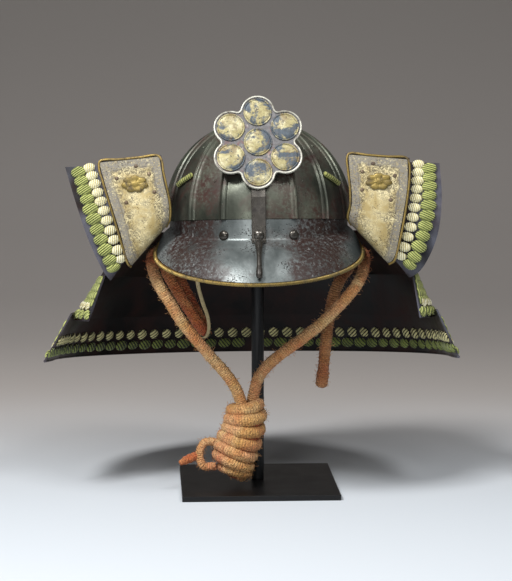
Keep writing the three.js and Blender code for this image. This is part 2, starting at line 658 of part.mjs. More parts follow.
function addWingTrim(helmet, side) {
  const name = side < 0 ? 'left' : 'right';
  const edges = wingEdges(WING_1, 0, side);
  const grid = [];
  for (let i = 0; i <= WING_COLUMNS; i += 1) {
    const along = lerp(FACING_START, FACING_TOP, i / WING_COLUMNS);
    const across = (v) => lerp(FACING_MARGIN, 1 - FACING_MARGIN, v);
    grid.push([0, 0.25, 0.5, 0.75, 1].map((v) => wingPoint(edges, along, across(v))));
  }
  const proud = side * (LAME_THICK / 2 + 3 * GAP + FACING_THICK / 2);
  addPiece(helmet, `wing_facing_${name}`, wall(grid, FACING_THICK, proud), 'gildedLeather');

  // The brass rim runs on the front face, up the inner edge, over the top and down the outer edge.
  const raise = LAME_THICK / 2 + 2 * GAP + WING_RIM_RADIUS;
  const rimPoint = (along, across) => {
    const p = wingPoint(edges, along, across);
    return p.addScaledVector(wingFront(edges, side, along, across), raise);
  };
  const climb = [0.26, 0.4, 0.55, 0.7, 0.85, 0.95];
  const topRun = [0.06, 0.35, 0.65, 0.94];
  const path = [
    ...climb.map((along) => rimPoint(along, RIM_INSET)),
    ...topRun.map((across) => rimPoint(RIM_TOP, across)),
    ...climb.map((along) => rimPoint(along, 1 - RIM_INSET)).reverse(),
  ];
  addPiece(helmet, `wing_rim_${name}`, rod(path, WING_RIM_RADIUS, 6, 26), 'gilt');

  const at = wingPoint(edges, EMBLEM.along, EMBLEM.across);
  const facing = wingFront(edges, side, EMBLEM.along, EMBLEM.across);
  const level = vec(1, 0, 0).addScaledVector(facing, -facing.x).normalize();
  const outline = new THREE.Shape();
  const steps = EMBLEM.lobes * 4;
  for (let i = 0; i < steps; i += 1) {
    const angle = (i / steps) * 2 * Math.PI;
    const petal = Math.abs(Math.cos((EMBLEM.lobes * (angle - Math.PI / 2)) / 2));
    const reach = 1 - EMBLEM.scallop + EMBLEM.scallop * petal * 2;
    const x = EMBLEM.spread * EMBLEM.width * reach * Math.cos(angle);
    const y = EMBLEM.spread * EMBLEM.height * reach * Math.sin(angle);
    if (i === 0) outline.moveTo(x, y);
    else outline.lineTo(x, y);
  }
  outline.closePath();
  const emblem = new THREE.ExtrudeGeometry(outline, { depth: EMBLEM.thick, bevelEnabled: false });
  const seat = LAME_THICK / 2 + 3 * GAP + FACING_THICK + 2 * GAP;
  emblem.applyMatrix4(new THREE.Matrix4().makeBasis(level, facing.clone().cross(level), facing));
  const place = at.addScaledVector(facing, seat);
  emblem.translate(place.x, place.y, place.z);
  addPiece(helmet, `wing_emblem_${name}`, emblem, 'gilt');
}

function addCrownCord(helmet, side) {
  const offset = PLATE_THICK / 2 + CROWN_CORD.radius - GAP;
  const path = [0, 0.25, 0.5, 0.75, 1].map((t) => {
    const turn = side * lerp(CROWN_CORD.to, CROWN_CORD.from, t);
    return bowlPoint(turn, lerp(CROWN_CORD.low, CROWN_CORD.high, t), offset);
  });
  addPiece(helmet, `crown_cord_${side < 0 ? 'left' : 'right'}`, rod(path, CROWN_CORD.radius, 8, 6), 'greenSilk');
}

const route = (points) => points.map(([x, y, z]) => vec(x, y, z));

// Value of a column of the wraps, between two wraps or a little past the ends.
function wrapAt(turn, column) {
  const first = THREE.MathUtils.clamp(Math.floor(turn), 0, KNOT_WRAPS.length - 2);
  return lerp(KNOT_WRAPS[first][column], KNOT_WRAPS[first + 1][column], turn - first);
}

function addChinCord(part) {
  addPiece(part, 'chin_cord_loop', rod(route(CHIN_LOOP_ROUTE), CORD_RADIUS, CORD_SIDES, 60), 'crepe');
  addPiece(part, 'chin_cord_left_bight', rod(route(LEFT_BIGHT_ROUTE), CORD_RADIUS, CORD_SIDES, 22), 'crepe');
  addPiece(part, 'chin_cord_right_end', rod(route(RIGHT_END_ROUTE), CORD_RADIUS, CORD_SIDES, 14), 'crepe');
  addPiece(part, 'chin_cord_knot_loop', rod(route(KNOT_LOOP_ROUTE), KNOT_LOOP_RADIUS, 8, 12), 'crepe');
  addPiece(part, 'chin_cord_tail', rod(route(KNOT_TAIL_ROUTE), KNOT_TAIL_RADIUS, 8, 4), 'crepe');
  addPiece(part, 'chin_thong', rod(route(THONG_ROUTE), THONG_WIDTH / 2, 8, 16, THONG_THICK / 2), 'thong');

  // The winding: a ridge for each wrap, turned up first and then slanted wrap by wrap.
  const top = -KNOT_END;
  const bottom = KNOT_WRAPS.length - 1 + KNOT_END;
  const profile = [[0, top]];
  const steps = KNOT_WRAPS.length * KNOT_STEPS;
  for (let i = 0; i <= steps; i += 1) {
    const turn = lerp(top, bottom, i / steps);
    const groove = KNOT_GROOVE * Math.abs(Math.sin(turn * Math.PI)) ** 3;
    profile.push([wrapAt(turn, 'radius') - groove, turn]);
  }
  profile.push([0, bottom]);
  const knot = turned(profile, KNOT_SIDES);
  const position = knot.attributes.position;
  for (let i = 0; i < position.count; i += 1) {
    const turn = position.getZ(i);
    const across = position.getX(i);
    const slant = wrapAt(turn, 'slant');
    position.setXYZ(
      i,
      wrapAt(turn, 'x') + across * Math.cos(slant),
      KNOT_Y - position.getY(i),
      wrapAt(turn, 'z') - across * Math.sin(slant),
    );
  }
  addPiece(part, 'chin_cord_knot', knot, 'crepe');
}

function addStand(part, helmet) {
  const base = new THREE.BoxGeometry(BASE_SIDE, BASE_SIDE, BASE_THICK);
  base.translate(0, 0, BASE_THICK / 2);
  base.rotateZ(BASE_TURN);
  addPiece(part, 'stand_base', base, 'stand');

  const foot = BASE_THICK + GAP;
  const post = turned([[0, foot], [POST_RADIUS, foot], [POST_RADIUS, POST_TOP], [0, POST_TOP]], 20);
  const under = -(PLATE_THICK / 2 + 4 * GAP);
  const profile = [...domeArc(CAP_RADIUS, under), ...domeArc(CAP_RADIUS, under - CAP_THICK).reverse()];
  const cap = turned(profile, 24, BOWL_HALF_LENGTH / BOWL_HALF_WIDTH);
  helmet.updateMatrixWorld(true);
  cap.applyMatrix4(helmet.matrixWorld);
  addPiece(part, 'stand_post', joined(post, cap), 'stand');
}

const part = new THREE.Group();
const helmet = new THREE.Group();
helmet.position.set(HELMET_SHIFT, 0, HELMET_HEIGHT);
helmet.rotation.set(-HELMET_PITCH, -HELMET_ROLL, 0);
part.add(helmet);

addBowl(helmet);
addVisor(helmet);
addCrestHolder(helmet);
addCrest(helmet);
addNeckGuard(helmet);
for (const side of [-1, 1]) {
  addWingTrim(helmet, side);
  addCrownCord(helmet, side);
}
addChinCord(part);
addStand(part, helmet);

export default part;
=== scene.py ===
"""Kabuto helmet on its display stand, dressed as aged iron, lacquer, gilt leather and silk."""
import logging
import math
import random
from dataclasses import dataclass
from enum import Enum
from typing import Callable, Iterable, Sequence

import bmesh
import bpy
import numpy as np
from mathutils import Matrix, Vector


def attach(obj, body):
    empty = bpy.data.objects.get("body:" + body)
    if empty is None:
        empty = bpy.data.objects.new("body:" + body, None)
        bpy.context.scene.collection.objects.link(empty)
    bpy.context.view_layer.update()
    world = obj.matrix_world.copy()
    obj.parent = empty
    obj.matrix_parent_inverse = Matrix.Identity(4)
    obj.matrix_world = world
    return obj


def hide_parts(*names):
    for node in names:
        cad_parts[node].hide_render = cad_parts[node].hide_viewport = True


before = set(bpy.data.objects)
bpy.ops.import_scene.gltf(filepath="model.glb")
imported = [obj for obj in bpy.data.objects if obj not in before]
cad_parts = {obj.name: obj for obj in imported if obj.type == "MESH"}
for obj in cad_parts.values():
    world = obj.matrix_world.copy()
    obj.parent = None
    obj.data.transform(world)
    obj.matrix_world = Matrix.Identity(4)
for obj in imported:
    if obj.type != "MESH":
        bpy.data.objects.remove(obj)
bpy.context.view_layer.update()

log = logging.getLogger("kabuto")
MM = 0.001
TINY = 1e-9
# Range of the random phases of ripples and fibres
PHASES = 6.28
# Gap in millimetres between a piece and the one that it sits on
CLEAR = 0.3
Points = Sequence[Sequence[float]]
Socket = bpy.types.NodeSocket
Thing = bpy.types.Object


class Side(Enum):
    """Side of the helmet as seen from the front."""

    LEFT = -1
    RIGHT = 1

    @property
    def word(self) -> str:
        """The side's name in node names."""
        return self.name.lower()


class Slot(Enum):
    """Material slots of the record."""

    IRON = "iron_plate"
    STEEL = "visor_steel"
    DARK_STEEL = "dark_steel"
    GILT = "gilt_brass"
    SILVER = "crest_silver"
    LEAF = "gold_leaf"
    LACQUER = "black_lacquer"
    LEATHER = "gilded_leather"
    GREEN = "green_silk"
    CREAM = "cream_silk"
    CREPE = "crepe_cord"
    THONG = "thong_leather"
    STAND = "stand_black"


HELMET_PLACE = (
    Matrix.Translation((1 * MM, 0.0, 310 * MM))
    @ Matrix.Rotation(math.radians(-6.3), 4, "X")
    @ Matrix.Rotation(math.radians(-0.6), 4, "Y")
)
WORLD_PLACE = Matrix.Identity(4)


def lerp(a: float, b: float, t: float) -> float:
    """Value between a and b."""
    return a + (b - a) * t


def vec(x: float, y: float, z: float) -> np.ndarray:
    """Point or direction in millimetres."""
    return np.array((x, y, z), dtype=float)


def unit(v: np.ndarray) -> np.ndarray:
    """The vector at length one."""
    return v / max(float(np.linalg.norm(v)), TINY)


def run_along(points: np.ndarray) -> np.ndarray:
    """Distance along a path at each of its points."""
    return np.concatenate(([0.0], np.cumsum(np.linalg.norm(np.diff(points, axis=0), axis=1))))


def path_length(points: np.ndarray) -> float:
    """Length along points."""
    return float(run_along(points)[-1])


class SmoothPath:
    """Centripetal curve through points, as the cords and wing edges follow."""

    fine_steps = 24

    def __init__(self, points: Points) -> None:
        """Keeps the points with one extrapolated point at each end."""
        p = np.array(points, dtype=float)
        self.p = np.vstack((2 * p[0] - p[1], p, 2 * p[-1] - p[-2]))
        self.spans = len(p) - 1

    def at(self, t: float) -> np.ndarray:
        """Point in millimetres at a share of the spans, from 0 to 1."""
        place = min(max(t, 0.0), 1.0) * self.spans
        i = min(int(place), self.spans - 1)
        w = place - i
        a, b, c, d = self.p[i:i + 4]
        r, s, u = (max(float(np.linalg.norm(q)), 1e-6) ** 0.5 for q in (b - a, c - b, d - c))
        m = s * ((b - a) / r - (c - a) / (r + s) + (c - b) / s)
        n = s * ((c - b) / s - (d - b) / (s + u) + (d - c) / u)
        return b + m * w + (3 * (c - b) - 2 * m - n) * w ** 2 + (2 * (b - c) + m + n) * w ** 3

    def spaced(self, count: int) -> np.ndarray:
        """A number of points evenly spaced along the curve."""
        steps = self.fine_steps * self.spans
        fine = np.array([self.at(i / steps) for i in range(steps + 1)])
        run = run_along(fine)
        marks = np.linspace(0.0, run[-1], count)
        return np.stack([np.interp(marks, run, fine[:, k]) for k in range(3)], axis=1)


def grid_normals(grid: np.ndarray) -> np.ndarray:
    """Unit normals of a grid of points, in the grid's own shape."""
    rows, columns = grid.shape[:2]
    right = np.minimum(np.arange(columns) + 1, columns - 1)
    left = np.maximum(np.arange(columns) - 1, 0)
    up = np.minimum(np.arange(rows) + 1, rows - 1)
    down = np.maximum(np.arange(rows) - 1, 0)
    normal = np.cross(grid[:, right] - grid[:, left], grid[up] - grid[down])
    return normal / np.maximum(np.linalg.norm(normal, axis=2, keepdims=True), TINY)


def ring_faces(rings: int, sides: int, closed: bool = False) -> list[list[int]]:
    """Faces over stacked rings of corners.

    Args:
        rings: number of rings.
        sides: corners of each.
        closed: joins the last ring to the first, where else both ends are capped.

    Returns:
        Corner numbers of each face.
    """
    faces: list[list[int]] = []
    for r in range(rings if closed else rings - 1):
        a, b = r * sides, (r + 1) % rings * sides
        faces += [[a + k, a + (k + 1) % sides, b + (k + 1) % sides, b + k] for k in range(sides)]
    if not closed:
        faces += [list(range(sides))[::-1], list(range((rings - 1) * sides, rings * sides))]
    return faces


def angles(count: int) -> list[float]:
    """Angles of even steps round a circle."""
    return [2 * math.pi * k / count for k in range(count)]


def link(name: str, data: bpy.types.ID) -> Thing:
    """New object of some data in the scene."""
    made = bpy.data.objects.new(name, data)
    bpy.context.scene.collection.objects.link(made)
    return made


def dress(piece: Thing, finish: "Finish", stands_for: str = "") -> Thing:
    """Gives a piece its finish and body, and hides the CAD node that it stands for.

    Args:
        piece: object at the origin with its place in its mesh.
        finish: finish to set, unless the mesh has its own.
        stands_for: CAD node that the piece replaces.

    Returns:
        The piece.
    """
    if not piece.data.materials:
        piece.data.materials.append(finish.material())
    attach(piece, "root")
    if stands_for:
        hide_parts(stands_for)
    log.info("piece %s", piece.name)
    return piece


def mesh_object(
    name: str,
    points: Iterable[Sequence[float]],
    faces: Sequence[Sequence[int]],
    place: Matrix = WORLD_PLACE,
    uv: Sequence[Sequence[float]] | None = None,
    smooth: bool = True,
    outward: bool = True,
) -> Thing:
    """Mesh object from points in millimetres.

    Args:
        name: object name.
        points: points in millimetres in the frame that place carries.
        faces: corner numbers of each face.
        place: where the frame sits.
        uv: one pair for each point, in metres along the surface.
        smooth: shades the faces smooth.
        outward: recalculates the normals of a closed shape.

    Returns:
        The object, linked at the origin.
    """
    mesh = bpy.data.meshes.new(name)
    mesh.from_pydata([place @ (Vector(p) * MM) for p in points], [], [list(f) for f in faces])
    if uv is not None:
        layer = mesh.uv_layers.new(name="run")
        flat = np.array([uv[loop.vertex_index] for loop in mesh.loops], dtype=np.float32)
        layer.data.foreach_set("uv", flat.ravel())
    if outward:
        work = bmesh.new()
        work.from_mesh(mesh)
        bmesh.ops.recalc_face_normals(work, faces=work.faces)
        work.to_mesh(mesh)
        work.free()
    mesh.polygons.foreach_set("use_smooth", [smooth] * len(mesh.polygons))
    return link(name, mesh)


def keep_creases(piece: Thing, limit: float = math.radians(40)) -> Thing:
    """Marks the edges sharper than a limit, so that flat faces keep their shading."""
    work = bmesh.new()
    work.from_mesh(piece.data)
    for edge in work.edges:
        edge.smooth = len(edge.link_faces) == 2 and edge.calc_face_angle(0.0) < limit
    work.to_mesh(piece.data)
    work.free()
    return piece


def round_corners(piece: Thing, width: float, segments: int) -> Thing:
    """Bevels the edges of a flat-sided piece, width in millimetres."""
    bevel = piece.modifiers.new("soft edges", "BEVEL")
    bevel.width, bevel.segments = width * MM, segments
    return piece


def wall(name: str, grid: np.ndarray, thickness: float, offset: float = 0.0) -> Thing:
    """Closed sheet of even thickness about a grid of mid-surface points.

    Args:
        name: object name.
        grid: rows by columns by 3, in millimetres of the helmet's frame.
        thickness: of the sheet.
        offset: moves the sheet along its normals.

    Returns:
        The object, its UV running in metres along the sheet.
    """
    normals = grid_normals(grid)
    rows, columns = grid.shape[:2]
    layers = [grid + normals * (offset + half) for half in (thickness / 2, -thickness / 2)]
    points = np.concatenate([layer.reshape(-1, 3) for layer in layers])
    step_u = np.linalg.norm(np.diff(grid, axis=1), axis=2)
    step_v = np.linalg.norm(np.diff(grid, axis=0), axis=2)
    u = np.concatenate((np.zeros((rows, 1)), np.cumsum(step_u, axis=1)), axis=1)
    v = np.concatenate((np.zeros((1, columns)), np.cumsum(step_v, axis=0)), axis=0)
    uv = np.tile(np.stack((u, v), axis=2).reshape(-1, 2) * MM, (2, 1))
    back = rows * columns
    faces: list[tuple[int, ...]] = []
    for r in range(rows - 1):
        for p in range(r * columns, r * columns + columns - 1):
            q, s, t = p + 1, p + columns, p + columns + 1
            faces += [(p, q, t, s), (back + p, back + s, back + t, back + q)]
    border = list(range(columns - 1)) + [r * columns + columns - 1 for r in range(rows - 1)]
    border += [(rows - 1) * columns + c for c in range(columns - 1, 0, -1)]
    border += [r * columns for r in range(rows - 1, 0, -1)]
    faces += [(p, back + p, back + q, q) for p, q in zip(border, border[1:] + border[:1])]
    return keep_creases(mesh_object(name, points, faces, HELMET_PLACE, uv))


def turned(
    name: str, profile: Points, segments: int, stretch: float = 1.0, place: Matrix = HELMET_PLACE
) -> Thing:
    """Solid turned about Z from radius and height pairs.

    Args:
        name: object name.
        profile: pairs from the axis out and back, closed by the axis or by itself.
        segments: number of steps round.
        stretch: factor along Y.
        place: frame of the profile.

    Returns:
        The object.
    """
    points: list[tuple[float, float, float]] = []
    rings: list[list[int]] = []
    for radius, z in profile:
        if radius < TINY:
            rings.append([len(points)] * segments)
            points.append((0.0, 0.0, z))
            continue
        rings.append(list(range(len(points), len(points) + segments)))
        points += [(radius * math.sin(t), -stretch * radius * math.cos(t), z) for t in angles(segments)]
    if profile[0][0] > TINY:
        rings.append(rings[0])
    faces = []
    for low, high in zip(rings, rings[1:]):
        for k in range(segments):
            n = (k + 1) % segments
            face = list(dict.fromkeys((low[k], low[n], high[n], high[k])))
            if len(face) > 2:
                faces.append(face)
    return keep_creases(mesh_object(name, points, faces, place))


def frames_along(points: np.ndarray) -> list[tuple[np.ndarray, np.ndarray]]:
    """Two cross directions at each point of a path, carried along without twist."""
    last = len(points) - 1
    heading = [unit(points[min(i + 1, last)] - points[max(i - 1, 0)]) for i in range(last + 1)]
    steep = 0.95
    upright = abs(float(heading[0][2])) > steep
    side = unit(np.cross(heading[0], vec(1, 0, 0) if upright else vec(0, 0, 1)))
    result = []
    for direction in heading:
        side = unit(side - direction * float(np.dot(side, direction)))
        result.append((side, np.cross(direction, side)))
    return result


def tube(
    name: str,
    points: np.ndarray,
    reach: Callable[[float, float], float],
    sides: int,
    place: Matrix = WORLD_PLACE,
    flatten: float = 1.0,
) -> Thing:
    """Closed tube along points whose radius may change along and around it.

    Args:
        name: object name.
        points: centre line in millimetres.
        reach: radius from distance along in millimetres and angle round.
        sides: corners round.
        place: frame of the points.
        flatten: factor on the second cross direction.

    Returns:
        The object with UV in metres, v along the tube.
    """
    corners: list[np.ndarray] = []
    uv: list[tuple[float, float]] = []
    for p, along, (side, up) in zip(points, run_along(points), frames_along(points)):
        for k, turn in enumerate(angles(sides)):
            radius = reach(float(along), turn)
            corners.append(p + radius * (math.cos(turn) * side + flatten * math.sin(turn) * up))
            uv.append((min(k, sides - k) / sides * radius * 2 * MM, float(along) * MM))
    return mesh_object(name, corners, ring_faces(len(points), sides), place, uv)


def linear(code: str) -> tuple[float, float, float]:
    """Scene colour of a six-digit colour code."""
    parts = [int(code[i:i + 2], 16) / 255 for i in (0, 2, 4)]
    r, g, b = (p / 12.92 if p <= 0.04045 else ((p + 0.055) / 1.055) ** 2.4 for p in parts)
    return (r, g, b)


class Graph:
    """Short way to write a node tree."""

    def __init__(self, tree: bpy.types.NodeTree) -> None:
        """Keeps the tree that nodes are added to."""
        self.tree = tree

    def add(self, kind: str, feeds: dict | None = None, **settings: object) -> bpy.types.Node:
        """Adds a node.

        Args:
            kind: node type.
            feeds: value or socket for inputs, by name or number.
            settings: properties of the node.

        Returns:
            The node.
        """
        node = self.tree.nodes.new(kind)
        for key, value in settings.items():
            setattr(node, key, value)
        for key, value in (feeds or {}).items():
            self.feed(node.inputs[key], value)
        return node

    def feed(self, socket: Socket, value: object) -> None:
        """Links a socket, or sets a constant or a colour code on an input."""
        if isinstance(value, Socket):
            self.tree.links.new(value, socket)
        elif socket.type == "RGBA":
            socket.default_value = (*(linear(value) if isinstance(value, str) else value), 1.0)
        else:
            socket.default_value = value

    def math(self, operation: str, a: object, b: object = 0.0, clamp: bool = False) -> Socket:
        """One step of arithmetic."""
        feeds = {0: a, 1: b}
        return self.add("ShaderNodeMath", feeds, operation=operation, use_clamp=clamp).outputs[0]

    def times(self, a: object, b: object, clamp: bool = False) -> Socket:
        """Product."""
        return self.math("MULTIPLY", a, b, clamp)

    def plus(self, a: object, b: object, clamp: bool = False) -> Socket:
        """Sum."""
        return self.math("ADD", a, b, clamp)

    def less(self, a: object, b: object, clamp: bool = False) -> Socket:
        """Difference."""
        return self.math("SUBTRACT", a, b, clamp)

    def span(self, value: object, low: float, high: float, first: float = 0.0, last: float = 1.0) -> Socket:
        """Smooth step of a value between two limits."""
        feeds = {0: value, 1: low, 2: high, 3: first, 4: last}
        return self.add("ShaderNodeMapRange", feeds, interpolation_type="SMOOTHSTEP").outputs[0]

    def mix(self, share: object, a: object, b: object) -> Socket:
        """Mix of two colours."""
        return self.add("ShaderNodeMix", {0: share, 6: a, 7: b}, data_type="RGBA").outputs[2]

    def noise(
        self, at: object, scale: object, detail: float = 4.0, rough: float = 0.55, warp: float = 0.0
    ) -> Socket:
        """Noise value."""
        feeds = {"Vector": at, "Scale": scale, "Detail": detail, "Roughness": rough, "Distortion": warp}
        return self.add("ShaderNodeTexNoise", feeds).outputs[0]

    def veins(self, value: Socket, wide: float, thin: float) -> Socket:
        """Thin lines where a noise value is near its middle."""
        return self.span(self.math("ABSOLUTE", self.less(value, 0.5)), wide, thin)

    def cells(self, at: object, scale: object) -> Socket:
        """Distance to the nearest cell point."""
        return self.add("ShaderNodeTexVoronoi", {"Vector": at, "Scale": scale}).outputs[0]

    def part(self, vector: Socket, axis: int) -> Socket:
        """One part of a vector."""
        return self.add("ShaderNodeSeparateXYZ", {0: vector}).outputs[axis]

    def place(self) -> Socket:
        """Object coordinates."""
        return self.add("ShaderNodeTexCoord").outputs["Object"]

    def run(self) -> Socket:
        """The piece's own UV, in metres."""
        return self.add("ShaderNodeUVMap", uv_map="run").outputs[0]

    def bump(self, height: Socket, depth: float, strength: float = 1.0) -> Socket:
        """Relief of a height value, depth in millimetres."""
        feeds = {"Strength": strength, "Distance": depth * MM, "Height": height}
        return self.add("ShaderNodeBump", feeds).outputs[0]


class Effect:
    """Shared shader effects, each group built once."""

    @staticmethod
    def place(
        g: Graph, name: str, feeds: dict[str, object], write: Callable[[Graph, dict], dict[str, Socket]]
    ) -> bpy.types.Node:
        """Places an effect, whose group is written on first use.

        Args:
            g: tree that it is placed in.
            name: of the group.
            feeds: value or socket by input name; the first input is a vector.
            write: writes the group from its input sockets and gives its outputs.

        Returns:
            The node.
        """
        tree = bpy.data.node_groups.get(name)
        if tree is None:
            tree = bpy.data.node_groups.new(name, "ShaderNodeTree")
            for number, key in enumerate(feeds):
                kind = "NodeSocketFloat" if number else "NodeSocketVector"
                tree.interface.new_socket(key, in_out="INPUT", socket_type=kind)
            inner = Graph(tree)
            entry = inner.add("NodeGroupInput")
            results = write(inner, {key: entry.outputs[key] for key in feeds})
            for key in results:
                tree.interface.new_socket(key, in_out="OUTPUT", socket_type="NodeSocketFloat")
            inner.add("NodeGroupOutput", results)
        return g.add("ShaderNodeGroup", feeds, node_tree=tree)

    @classmethod
    def blotches(cls, g: Graph, at: Socket, scale: float, level: object, softness: float) -> Socket:
        """Soft-edged patches of rust, tarnish or fading."""

        def write(t: Graph, of: dict) -> dict[str, Socket]:
            """Noise that is cut at a level."""
            gap = t.less(t.noise(of["Place"], of["Scale"], 7.0, 0.62, 0.5), of["Level"])
            return {"Mask": t.plus(t.times(t.math("DIVIDE", gap, of["Softness"]), 0.5), 0.5, True)}

        feeds = {"Place": at, "Scale": scale, "Level": level, "Softness": softness}
        return cls.place(g, "blotches", feeds, write).outputs[0]

    @classmethod
    def pits(cls, g: Graph, at: Socket, scale: float, size: float, cluster: float) -> tuple[Socket, Socket]:
        """Mask and height of small round pits gathered in clusters."""

        def write(t: Graph, of: dict) -> dict[str, Socket]:
            """Cells that are pits where the clusters are."""
            near = t.cells(of["Place"], of["Scale"])
            crowd = t.span(t.noise(of["Place"], of["Cluster"], 3.0), 0.35, 0.68)
            mask = t.times(t.less(t.times(of["Size"], crowd), near), 7.0, True)
            return {"Mask": mask, "Height": t.less(1.0, mask)}

        feeds = {"Place": at, "Scale": scale, "Size": size, "Cluster": cluster}
        node = cls.place(g, "pits", feeds, write)
        return node.outputs["Mask"], node.outputs["Height"]

    @classmethod
    def twill(cls, g: Graph, across: float, along: float, waver: float) -> Socket:
        """Height of slanted strands over a cord's own UV, in strands for each metre."""

        def write(t: Graph, of: dict) -> dict[str, Socket]:
            """Sine across the strands, a little unsteady."""
            sway = t.times(t.noise(of["Run"], 300.0, 2.0), t.times(of["Waver"], 20.0))
            over = t.times(t.part(of["Run"], 0), of["Across"])
            slope = t.plus(over, t.times(t.part(of["Run"], 1), of["Along"]))
            wave = t.math("SINE", t.plus(t.times(slope, math.tau), sway))
            return {"Height": t.plus(t.times(wave, 0.5), 0.5)}

        feeds = {"Run": g.run(), "Across": across, "Along": along, "Waver": waver}
        return cls.place(g, "twill", feeds, write).outputs[0]


@dataclass(frozen=True)
class Finish:
    """A material and its slot; subclasses write its nodes."""

    name: str
    slot: Slot | None

    def material(self) -> bpy.types.Material:
        """The material, made on first use."""
        name = f"{self.name}_finish"
        if name in bpy.data.materials:
            return bpy.data.materials[name]
        made = bpy.data.materials.new(name)
        made.use_nodes = True
        graph = Graph(made.node_tree)
        surface = made.node_tree.nodes["Principled BSDF"]
        for key, value in self.nodes(graph).items():
            graph.feed(surface.inputs[key], value)
        return made

    def nodes(self, g: Graph) -> dict[str, object]:
        """Writes the nodes and gives what feeds each input of the surface."""
        raise NotImplementedError


@dataclass(frozen=True)
class AgedMetal(Finish):
    """Metal with patina patches, pits and a hand-worked surface."""

    bare: str
    light: str
    patch: str
    dark: str
    patch_scale: float
    patch_level: float
    pit_scale: float
    pit_size: float
    roughness: float
    metallic: float
    relief: float
    side_bias: float = 0.0
    fleck: str = "000000"
    flecking: float = 0.0

    def nodes(self, g: Graph) -> dict[str, object]:
        """Patches of tarnish over the bare metal, darkened in pits, with painted shade towards the sides."""
        at = g.place()
        away: object = 0.0
        if self.side_bias:
            aside = g.math("ABSOLUTE", g.part(at, 0))
            away = g.times(g.span(aside, 0.026, 0.06), g.span(aside, 0.112, 0.084))
        level = g.less(self.patch_level, g.times(away, self.side_bias))
        patch = Effect.blotches(g, at, self.patch_scale, level, 0.09)
        fine, broad = g.noise(at, 260.0, 6.0, 0.7), g.noise(at, 14.0, 4.0, 0.6, 0.3)
        pit, pit_height = Effect.pits(g, at, self.pit_scale, self.pit_size, self.patch_scale * 1.3)
        tone = g.mix(g.span(broad, 0.35, 0.68), self.bare, self.light)
        tone = g.mix(g.times(patch, g.span(fine, 0.32, 0.55)), tone, self.patch)
        tone = g.mix(g.times(pit, 0.85), tone, self.dark)
        # painted shade: darker bands towards both sides of the visor
        tone = g.mix(g.times(away, 0.42), tone, self.dark)
        chips = g.span(g.noise(at, 210.0, 5.0, 0.66, 0.6), 0.63, 0.68)
        tone = g.mix(g.times(g.times(chips, patch), self.flecking), tone, self.fleck)
        rough = g.plus(self.roughness - 0.12, g.times(fine, 0.26))
        return {
            "Base Color": tone,
            "Roughness": g.plus(rough, g.times(patch, 0.2), True),
            "Metallic": g.less(self.metallic, g.times(patch, 0.5), True),
            "Normal": g.bump(g.plus(g.times(fine, 0.5), g.times(pit_height, 0.7)), self.relief),
        }


@dataclass(frozen=True)
class FlakedLeaf(Finish):
    """Gold leaf flaking off a grey patina."""

    leaf: str
    ground: str
    trace: str
    pale: str
    hold: float

    def nodes(self, g: Graph) -> dict[str, object]:
        """Ragged flakes of leaf over the ground, with traces of red."""
        at = g.place()
        flake = Effect.blotches(g, at, 44.0, 1.0 - self.hold, 0.03)
        leaf = g.times(flake, g.span(g.noise(at, 300.0, 5.0, 0.7), 0.34, 0.42))
        red = Effect.blotches(g, at, 95.0, 0.6, 0.05)
        stain = Effect.blotches(g, at, 62.0, 0.55, 0.06)
        fine = g.noise(at, 340.0, 6.0, 0.7)
        shade = tuple(0.55 * c for c in linear(self.ground))
        ground = g.mix(g.span(fine, 0.3, 0.7), self.ground, shade)
        ground = g.mix(g.times(red, 0.55), ground, self.trace)
        crack = g.veins(g.noise(at, 150.0, 6.0, 0.7, 1.2), 0.035, 0.0)
        worn = g.span(g.noise(at, 80.0, 4.0, 0.6), 0.4, 0.7)
        gold = g.mix(g.times(worn, 0.6), self.leaf, self.pale)
        gold = g.mix(g.times(crack, 0.5), gold, self.trace)
        gold = g.mix(g.times(stain, 0.6), gold, self.trace)
        return {
            "Base Color": g.mix(leaf, ground, gold),
            "Metallic": g.plus(0.2, g.times(leaf, 0.2)),
            "Roughness": g.plus(0.36, g.times(fine, 0.3)),
            "Normal": g.bump(g.plus(g.times(leaf, 0.6), g.times(fine, 0.5)), 0.25),
        }


@dataclass(frozen=True)
class Lacquer(Finish):
    """Old near-black lacquer, glossy where whole and brown where worn."""

    coat: str
    worn: str
    # painted reflection: pale tone painted on the fronts of the wings
    haze: str
    dust: str

    def nodes(self, g: Graph) -> dict[str, object]:
        """Worn brown patches, fine dust, and a painted sheen, a painted reflection, where the plates turn up
        in front.
        """
        at = g.place()
        cloud = g.span(g.noise(at, 16.0, 3.0, 0.6, 0.4), 0.3, 0.7)
        # painted reflection: the sheen tone is mixed in where the plates turn up in front
        ahead = g.times(g.span(g.part(at, 1), -0.045, -0.075), cloud)
        worn = Effect.blotches(g, at, 22.0, 0.54, 0.14)
        fine = g.noise(at, 420.0, 5.0, 0.7)
        tone = g.mix(g.times(worn, 0.8), self.coat, self.worn)
        tone = g.mix(g.times(ahead, 0.6), tone, self.haze)
        return {
            "Base Color": g.mix(g.times(g.span(fine, 0.56, 0.75), 0.06), tone, self.dust),
            "Roughness": g.plus(g.plus(0.28, g.times(worn, 0.2)), g.times(fine, 0.14)),
            "Specular IOR Level": 0.22,
            "Normal": g.bump(g.noise(at, 60.0), 0.5, 0.5),
        }


